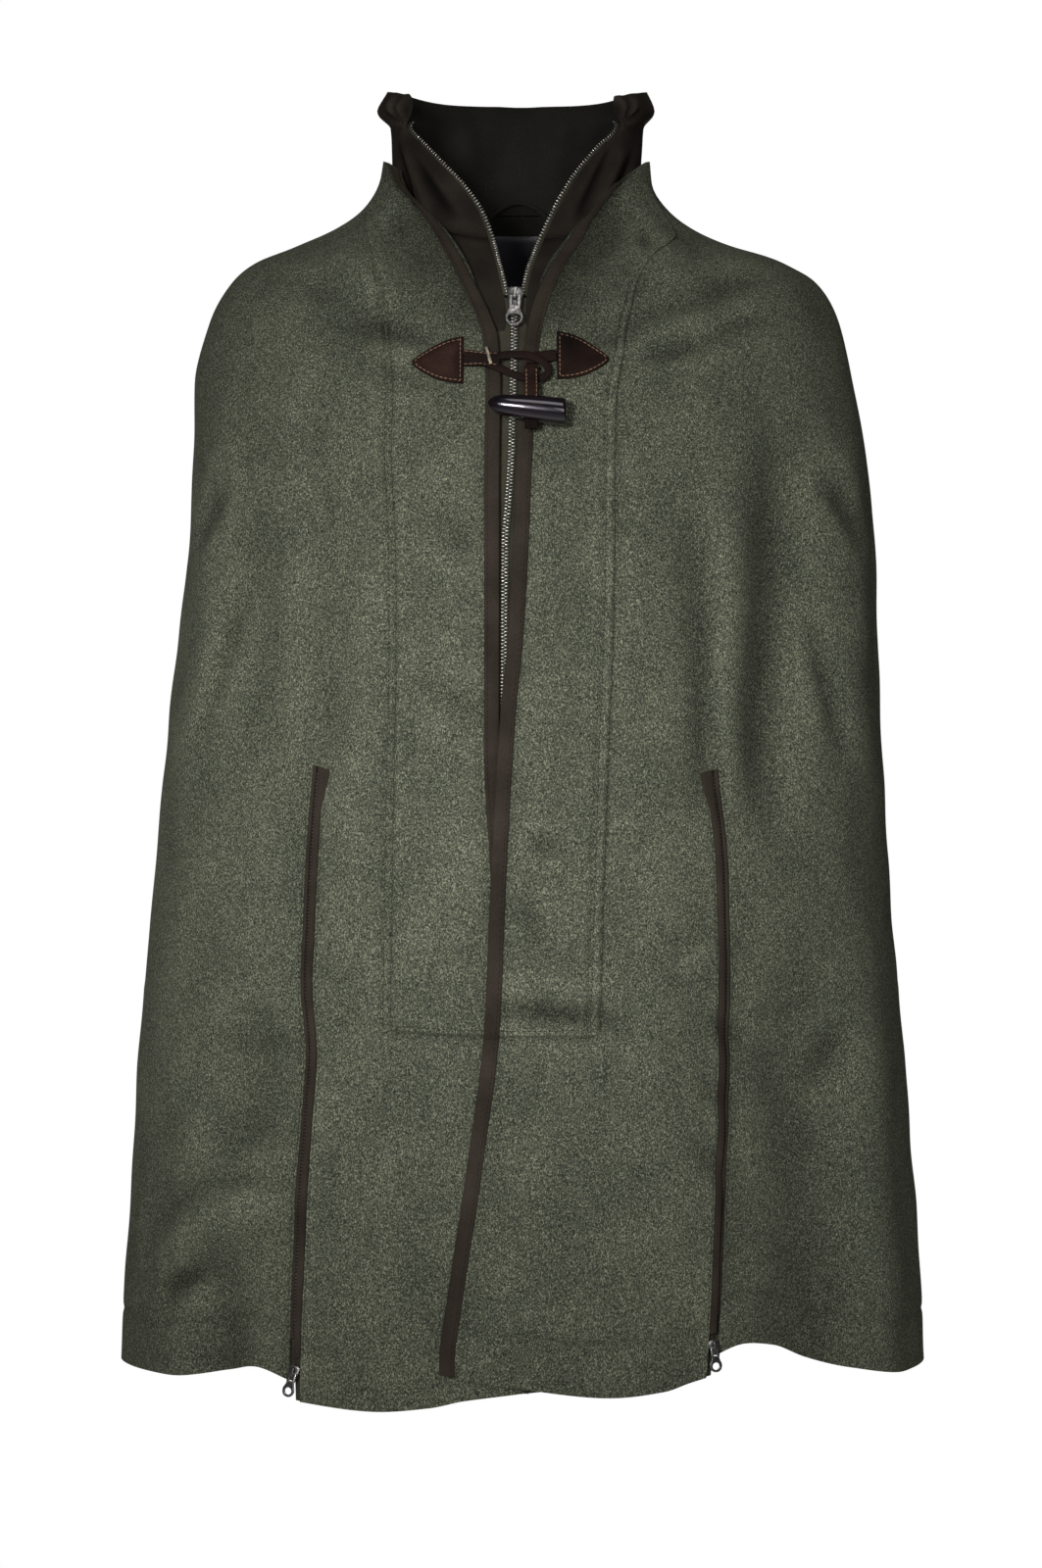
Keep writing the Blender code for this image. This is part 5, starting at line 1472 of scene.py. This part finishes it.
# %% Patches
LEATHER_LIFT = 0.4
Patch = namedtuple("Patch", "edge tip edge_z tip_z half")
PATCHES = {"right": Patch(-36.4, -69, -98.6, -99.6, 15.4), "left": Patch(22.6, 55.8, -95.6, -98, 15.8)}
PATCH_ARCH = ((0, 0.25, 0.5, 0.75, 0.9, 1), (1, 0.93, 0.77, 0.49, 0.26, 0.07))   # share along, half height
STITCH_INSET = 1.9   # mm from the rim of the leather to its stitches
RIM_DROP = 0.7       # the leather is thinner at its rim
RIM_REACH = 1.1      # mm
STITCH_SINK = 0.45   # and pressed in by the thread
SINK_REACH = 0.6     # mm
THREAD_SINK = 0.35   # the thread lies this far under the face
PATCH_RUB = {"right": 0.9, "left": -0.2}   # the right patch is rubbed pale in its middle, the left is a little darker in its middle
RUB_REACH = 9.0      # mm from the rim to the palest place


def place_on_front(side, across, height):
    """Point and normal of a front from its distance across and its height."""
    across, height = np.broadcast_arrays(np.asarray(across, float), np.asarray(height, float))
    station = cape.at_depth(-height)
    for _ in range(40):
        bearing = bearing_across(cape, across, station)
        station = station + (cape.point(bearing, station)[..., 2] - height) * 0.8
    return front(side, bearing, station)


def patch_half(patch, along):
    """Half height of a patch at a share of its length."""
    return patch.half * smooth_curve(*PATCH_ARCH, along)


def patch_place(patch, along, v):
    """Distance across and height of a place on a patch, with v from -1 to 1 over its height."""
    across = patch.edge + (patch.tip - patch.edge) * along
    return across, patch.edge_z + (patch.tip_z - patch.edge_z) * along + patch_half(patch, along) * v


def leather_patch(side):
    """Arched patch with a crowned face and a dip under its stitches."""
    patch = PATCHES[side]
    along, v = np.meshgrid(np.linspace(0, 1, 31), np.linspace(-1, 1, 23), indexing="ij")
    points, normals = place_on_front(side, *patch_place(patch, along, v))
    length = abs(patch.tip - patch.edge)
    rim = np.minimum((1 - np.abs(v)) * patch_half(patch, along), along * length)
    top = LEATHER_LIFT + LEATHER - RIM_DROP * bell(rim, RIM_REACH)
    top = top - STITCH_SINK * bell(rim - STITCH_INSET, SINK_REACH)
    rubbed = 1 + PATCH_RUB[side] * ramp(rim, 0, RUB_REACH)
    piece = cloth_wall("leather_patch_" + side, points + normals * top[..., None],
                       points + normals * LEATHER_LIFT, BROWN_LEATHER, rim=0.35, shading_and_wear=rubbed)
    declare(piece, replaces=["patch_" + side])
    ends = np.linspace(STITCH_INSET / length, 0.93, 40)
    inset = np.maximum(1 - STITCH_INSET / patch_half(patch, ends), 0.1)
    line_along = np.concatenate([ends, ends[::-1], np.full(20, ends[0])])
    line_v = np.concatenate([inset, -inset[::-1], np.linspace(-inset[0], inset[0], 20)])
    points, normals = place_on_front(side, *patch_place(patch, line_along, line_v))
    lift = LEATHER_LIFT + LEATHER - THREAD_SINK
    stitch_row("stitches_patch_" + side, points, normals, LEATHER_STITCH, TAN_THREAD, lift)
    return piece


for side in SIGN:
    print(leather_patch(side).name, "sewn on")

# %% Straps and tab
STRAP_LIFT = 2.5
STRAP_INSET = 1.1    # mm from the edge of a strap to its stitches
STRAP_SINK = 0.25    # the thread lies this far under the face
TAB_X = 6.4
Strap = namedtuple("Strap", "start end start_z end_z halves")   # half widths at start, keeper and end
STRAPS = {"right": Strap(-36, -13.5, -98.4, -99.4, (5.4, 4.5, 4.8)),
          "left": Strap(22.2, 3, -96.6, -99, (3.6, 3.6, 3.2))}
TAB_HEIGHTS = (-98.8, -100.5, -103, -107, -112, -118, -122, -128, -138, -147)
TAB_LIFTS = (4.8, 4.9, 5.6, 7.4, 8.2, 10.6, 11.8, 12, 12, 12)
TAB_HALF = 4.2
TAB_TOP = -104.5     # the tab is folded over the lower strand of the loop here
TAB_ROWS = 60
TAB_SEWN = slice(4, 34)   # the rows with stitches


def band_on_front(name, across, height, half, low, finish):
    """Flat strap over the closed front, with rounded edges, at given distances over the cloth."""
    way = unit(np.gradient(np.stack([across, height], 1), axis=0))
    v = np.linspace(-1, 1, 9)
    reach = half[:, None] * v
    wide_across = across[:, None] - way[:, 1:] * reach
    wide_height = height[:, None] + way[:, :1] * reach
    points, normals = place_on_front("right", wide_across, wide_height)
    top = low[:, None] + LEATHER - 0.5 * np.abs(v) ** 6
    outer = points + normals * top[..., None]
    return cloth_wall(name, outer, points + normals * low[:, None, None], finish, rim=0.4)


def edge_stitches(name, across, height, half, low):
    """A row of stitches inside each long edge of a strap."""
    way = unit(np.gradient(np.stack([across, height], 1), axis=0))
    for k, v in enumerate((-1, 1)):
        reach = v * (half - STRAP_INSET)
        points, normals = place_on_front("right", across - way[:, 1] * reach, height + way[:, 0] * reach)
        points = points + normals * (low + LEATHER - STRAP_SINK)[:, None]
        stitch_row("%s_%d" % (name, k), points, normals, LEATHER_STITCH, TAN_THREAD)


for side, strap in STRAPS.items():
    t = np.linspace(0, 1, 24)
    across = strap.start + (strap.end - strap.start) * t
    height = strap.start_z + (strap.end_z - strap.start_z) * t
    half = smooth_curve((0, 0.62, 1), strap.halves, t)
    low = np.full(24, STRAP_LIFT)
    declare(band_on_front("leather_strap_" + side, across, height, half, low, DARK_LEATHER),
            replaces=["strap_" + side])
    if side == "right":
        edge_stitches("stitches_strap", across, height, half, low)

height = np.linspace(TAB_TOP, TAB_HEIGHTS[-1], TAB_ROWS)
low = smooth_curve([-z for z in TAB_HEIGHTS], TAB_LIFTS, -height)
across = np.full(TAB_ROWS, TAB_X)
half = np.full(TAB_ROWS, TAB_HALF)
declare(band_on_front("leather_tab", across, height, half, low, BROWN_LEATHER),
        replaces=["toggle_tab"])
edge_stitches("stitches_tab", across[TAB_SEWN], height[TAB_SEWN], half[TAB_SEWN], low[TAB_SEWN])
print("straps:", len(STRAPS), "and a tab")

# %% Loop
LOOP_LINE = [(-23, -99.2), (-14, -97.2), (-6, -96.2), (2, -96.8), (9, -99.2), (15, -103), (18, -107.6),
             (15, -112), (8, -113), (0, -111), (-8, -107.6), (-16, -104), (-23, -101.4)]
LOOP_HALF = 2.5
LOOP_STEP = 2.6      # the loop lies this much higher over the cloth at its far end
LOOP_TURNS = 96

line = np.array(LOOP_LINE, float)
line = np.concatenate([line, line[:1]])
along = np.concatenate([[0], np.cumsum(np.linalg.norm(np.diff(line, axis=0), axis=1))])
at = np.linspace(0, along[-1], LOOP_TURNS, endpoint=False)
path = np.stack([np.interp(at, along, line[:, k]) for k in range(2)], 1)
for _ in range(6):
    path = (np.roll(path, 1, axis=0) + 2 * path + np.roll(path, -1, axis=0)) / 4
way = unit(np.roll(path, -1, axis=0) - np.roll(path, 1, axis=0))
aside = np.stack([way[:, 1], -way[:, 0]], 1)
corners = 2 * np.pi * np.arange(12) / 12
reach = LOOP_HALF * np.sign(np.cos(corners)) * np.abs(np.cos(corners)) ** 0.6
rise = LEATHER / 2 * (1 + np.sign(np.sin(corners)) * np.abs(np.sin(corners)) ** 0.6)
flat = path[:, None] + aside[:, None] * reach[:, None]
points, normals = place_on_front("right", flat[..., 0], flat[..., 1])
lift = STRAP_LIFT + LOOP_STEP * ramp(flat[..., 0], -4, 9) + rise
points = points + normals * lift[..., None]
leather_loop = loft("leather_loop", points, DARK_LEATHER, True)
declare(leather_loop, replaces=["toggle_loop"])

# %% [markdown]
# ## Horn toggle
#
# The toggle is the tip of a horn, cut flat at its thick end and rounded at the other, with a slot for
# the leather tab. By hand one would take a circle, extrude it along and shrink it a little each time.
# The loop below does that, then a bevel softens the cut end and a Boolean cuts the slot.

# %% Horn
HORN_Z = -134.0
HORN_LIFT = 12.0
HORN_TILT = 5.5      # the thin end sits this much higher than the thick one
HORN_LONG = 49.7
HORN = [(28.4, 7.6), (27.4, 8.6), (20, 8.7), (6.4, 8.2), (-6, 7.2), (-14, 6), (-18.4, 4.2), (-20.6, 2.2),
        (-21.3, 0.8)]          # distance across, radius
HORN_RUNS = [(28.4, 27.4, 3), (26, -14, 12), (-15, -21.3, 9)]   # rings from, to, and how many
HORN_SLOT = (9.6, 3.2, 40.0)

seat, seat_normal = place_on_front("right", TAB_X, HORN_Z)
horn_middle = seat + seat_normal * (HORN_LIFT + LEATHER / 2)
stops = np.concatenate([np.linspace(*run) for run in HORN_RUNS])
radii = smooth_curve([-row[0] for row in HORN], [row[1] for row in HORN], -stops)


def horn_place(across):
    """Middle of the horn at a distance across, in metres."""
    height = horn_middle[2] + HORN_TILT * (TAB_X - across) / HORN_LONG
    return Vector((across, horn_middle[1], height)) * MM


bpy.ops.object.select_all(action="DESELECT")
bpy.ops.mesh.primitive_circle_add(vertices=36, radius=radii[0] * MM, fill_type="NGON",
                                  location=horn_place(stops[0]), rotation=(0, math.radians(90), 0))
horn = bpy.context.object
horn.name = "horn_toggle"
bpy.ops.object.transform_apply(location=True, rotation=True, scale=True)
bpy.ops.object.mode_set(mode="EDIT")
bpy.ops.mesh.select_all(action="SELECT")
for before, after, small, large in zip(stops, stops[1:], radii[1:], radii):
    move = horn_place(after) - horn_place(before)
    bpy.ops.mesh.extrude_region_move(TRANSFORM_OT_translate={"value": move})
    bpy.ops.transform.resize(value=(1, small / large, small / large), center_override=horn_place(after))
bpy.ops.mesh.select_all(action="SELECT")
bpy.ops.mesh.normals_make_consistent(inside=False)
bpy.ops.object.mode_set(mode="OBJECT")
horn.data.materials.append(HORN_FINISH)

bpy.ops.mesh.primitive_cube_add(size=1.0, location=Vector(horn_middle) * MM)
slot_tool = bpy.context.object
slot_tool.scale = Vector(HORN_SLOT) * MM
slot_tool.rotation_euler.x = -math.atan2(seat_normal[2], -seat_normal[1])
cut = horn.modifiers.new("slot", "BOOLEAN")
cut.object = slot_tool
cut.solver = "EXACT"
bpy.context.view_layer.update()
round_rim(horn, width=0.35, angle=40)
bpy.data.objects.remove(slot_tool)
declare(horn, replaces=["toggle_horn"])
print(horn.name, len(horn.data.polygons), "faces")

# %% [markdown]
# ## Sliders, pulls and keeper
#
# The hard pieces have the right shape in the frame already, but their edges are sharp. A copy of each
# solid is merged, its flat triangles are dissolved into clean faces, and its edges are bevelled, so that
# they catch the light as cast metal does. The keeper also leans over on its strap, and the round eye of
# the main pull is drawn out to an oval. Each pull rides on its own body and swings with it.

# %% Metal pieces
# body it rides on, finish, bevel in mm
HARDWARE = {"zip_slider": ("cape", NICKEL, 0.35), "zip_pull": ("zip_pull", NICKEL, 0.3),
            "slit_right_slider": ("cape", NICKEL, 0.25), "slit_right_pull": ("slit_right_pull", NICKEL, 0.2),
            "slit_left_slider": ("cape", NICKEL, 0.25), "slit_left_pull": ("slit_left_pull", NICKEL, 0.2),
            "keeper": ("cape", PALE_BRASS, 0.45)}
KEEPER_LEAN = 0.3           # the keeper sits askew: mm across for each mm of height
EYE_HEIGHT = 0.0047         # m from the end of the main pull to the middle of its eye
EYE_REACH = 0.0043          # the points of the eye lie inside this radius
EYE_WIDER = 1.24            # and are drawn out to an oval


def askew(points):
    """Lean the keeper over on its strap."""
    points[:, 0] -= KEEPER_LEAN * (points[:, 2] - points[:, 2].mean())


def oval_eye(points):
    """Widen the eye of the main pull."""
    middle = (points[:, 0].min() + points[:, 0].max()) / 2
    up = points[:, 2] - points[:, 2].min() - EYE_HEIGHT
    eye = np.hypot(points[:, 0] - middle, up) < EYE_REACH
    points[eye, 0] = middle + (points[eye, 0] - middle) * EYE_WIDER
    print("eye:", eye.sum(), "points widened")


CHANGES = {"keeper": askew, "zip_pull": oval_eye}


def cast_metal(node, body, finish, bevel):
    """Copy of a solid with clean faces and softened edges."""
    piece = bpy.data.objects.new("cast_" + node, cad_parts[node].data.copy())
    bpy.context.scene.collection.objects.link(piece)
    piece.data.materials.clear()
    piece.data.materials.append(finish)
    only(piece)
    bpy.ops.mesh.customdata_custom_splitnormals_clear()
    bpy.ops.object.mode_set(mode="EDIT")
    bpy.ops.mesh.select_all(action="SELECT")
    bpy.ops.mesh.remove_doubles(threshold=1e-6)
    bpy.ops.mesh.dissolve_limited(angle_limit=math.radians(2))
    bpy.ops.object.mode_set(mode="OBJECT")
    if node in CHANGES:
        points = np.array([vertex.co for vertex in piece.data.vertices])
        CHANGES[node](points)
        piece.data.vertices.foreach_set("co", points.ravel())
    round_rim(piece, bevel, angle=35)
    return declare(piece, body, [node])


for node, (body, finish, bevel) in HARDWARE.items():
    print(cast_metal(node, body, finish, bevel).name, "rides on", body)
for shape in (tooth, slit_tooth, stitch_shape):
    bpy.data.objects.remove(shape)

# %% [markdown]
# ## Floor, light and camera
#
# The cape hangs as on a standing figure, so the floor is well below the hem: a plain pale disc. The
# world is white, and dim as a light, so that the folds keep their shade. A soft spot from the left does
# most of the work and falls off towards the hem, a weaker softbox lifts the other side, and a third lies
# over the collar. Two more show the back and the floor when the cape is walked round; the photograph
# sees neither. The camera stands 2.6 m away, straight ahead: that distance gives the hem its bend.

# %% Stage
FLOOR_Z = -1.45
FLOOR_RADIUS = 2.5
CAMERA_AWAY = 2.6
CAMERA_Z = -0.36725
CAMERA_LENS = 90.0
WORLD_LIGHT = 0.035  # strength of the white world as a light; seen directly it is 1

bpy.ops.object.select_all(action="DESELECT")
bpy.ops.mesh.primitive_circle_add(vertices=96, radius=FLOOR_RADIUS, fill_type="NGON",
                                  location=(0, 0, FLOOR_Z))
floor = bpy.context.object
floor.name = "pale_floor"
floor_finish, _, floor_shader = plain_finish("pale_floor_paint", 0.8)
floor_shader["Base Color"].default_value = (0.86, 0.86, 0.85, 1)
floor.data.materials.append(floor_finish)
floor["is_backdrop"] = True

world = bpy.data.worlds.new("white_studio")
bpy.context.scene.world = world
world.use_nodes = True
sky = world.node_tree.nodes["Background"]
sky.inputs["Color"].default_value = (1, 1, 1, 1)
seen = world.node_tree.nodes.new("ShaderNodeLightPath")
level = world.node_tree.nodes.new("ShaderNodeMapRange")
level.inputs["To Min"].default_value = WORLD_LIGHT
level.inputs["To Max"].default_value = 1.0
world.node_tree.links.new(seen.outputs["Is Camera Ray"], level.inputs["Value"])
world.node_tree.links.new(level.outputs["Result"], sky.inputs["Strength"])

Lamp = namedtuple("Lamp", "name kind place aim size power")
LAMPS = [
    Lamp("key_spot", "SPOT", (-0.65, -2.4, -0.1), (0, 0, -0.38), 0.3, 238),
    Lamp("fill_softbox", "AREA", (0.6, -2.5, 0.1), (0, 0, -0.4), 1.0, 8),
    Lamp("top_softbox", "AREA", (0.1, -1.2, 1.5), (0, 0, -0.2), 0.8, 4),
    Lamp("back_softbox", "AREA", (0.2, 2.8, -0.2), (0, 0, -0.4), 0.8, 32),
    Lamp("floor_wash", "AREA", (0, 0, -0.9), (0, 0, FLOOR_Z), 1.6, 5),
]
KEY_BEAM = 27.5      # degrees, with a fully soft edge, so the light falls off towards hem and sides

for lamp in LAMPS:
    data = bpy.data.lights.new(lamp.name, lamp.kind)
    data.energy = lamp.power
    if lamp.kind == "SPOT":
        data.shadow_soft_size = lamp.size
        data.spot_size = math.radians(KEY_BEAM)
        data.spot_blend = 1.0
    else:
        data.size = lamp.size
    light = bpy.data.objects.new(lamp.name, data)
    light.location = lamp.place
    light.rotation_euler = (Vector(lamp.aim) - Vector(lamp.place)).to_track_quat("-Z", "Y").to_euler()
    bpy.context.scene.collection.objects.link(light)

lens = bpy.data.cameras.new("photo_camera")
lens.lens = CAMERA_LENS
camera = bpy.data.objects.new("photo_camera", lens)
camera.location = (0, -CAMERA_AWAY, CAMERA_Z)
camera.rotation_euler = (math.radians(90), 0, 0)
bpy.context.scene.collection.objects.link(camera)
bpy.context.scene.camera = camera
bpy.context.scene.view_settings.view_transform = "Standard"
print("stage: floor at", FLOOR_Z, "m, camera", CAMERA_AWAY, "m away")

# %% [markdown]
#
# The dressed cape is built to stay inside the box of its solids, apart from a little proud cloth. The
# last line prints the box of the dressed cape.

# %% Finish
low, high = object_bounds()
print("visual box:", [round(v, 3) for v in high - low], "m")
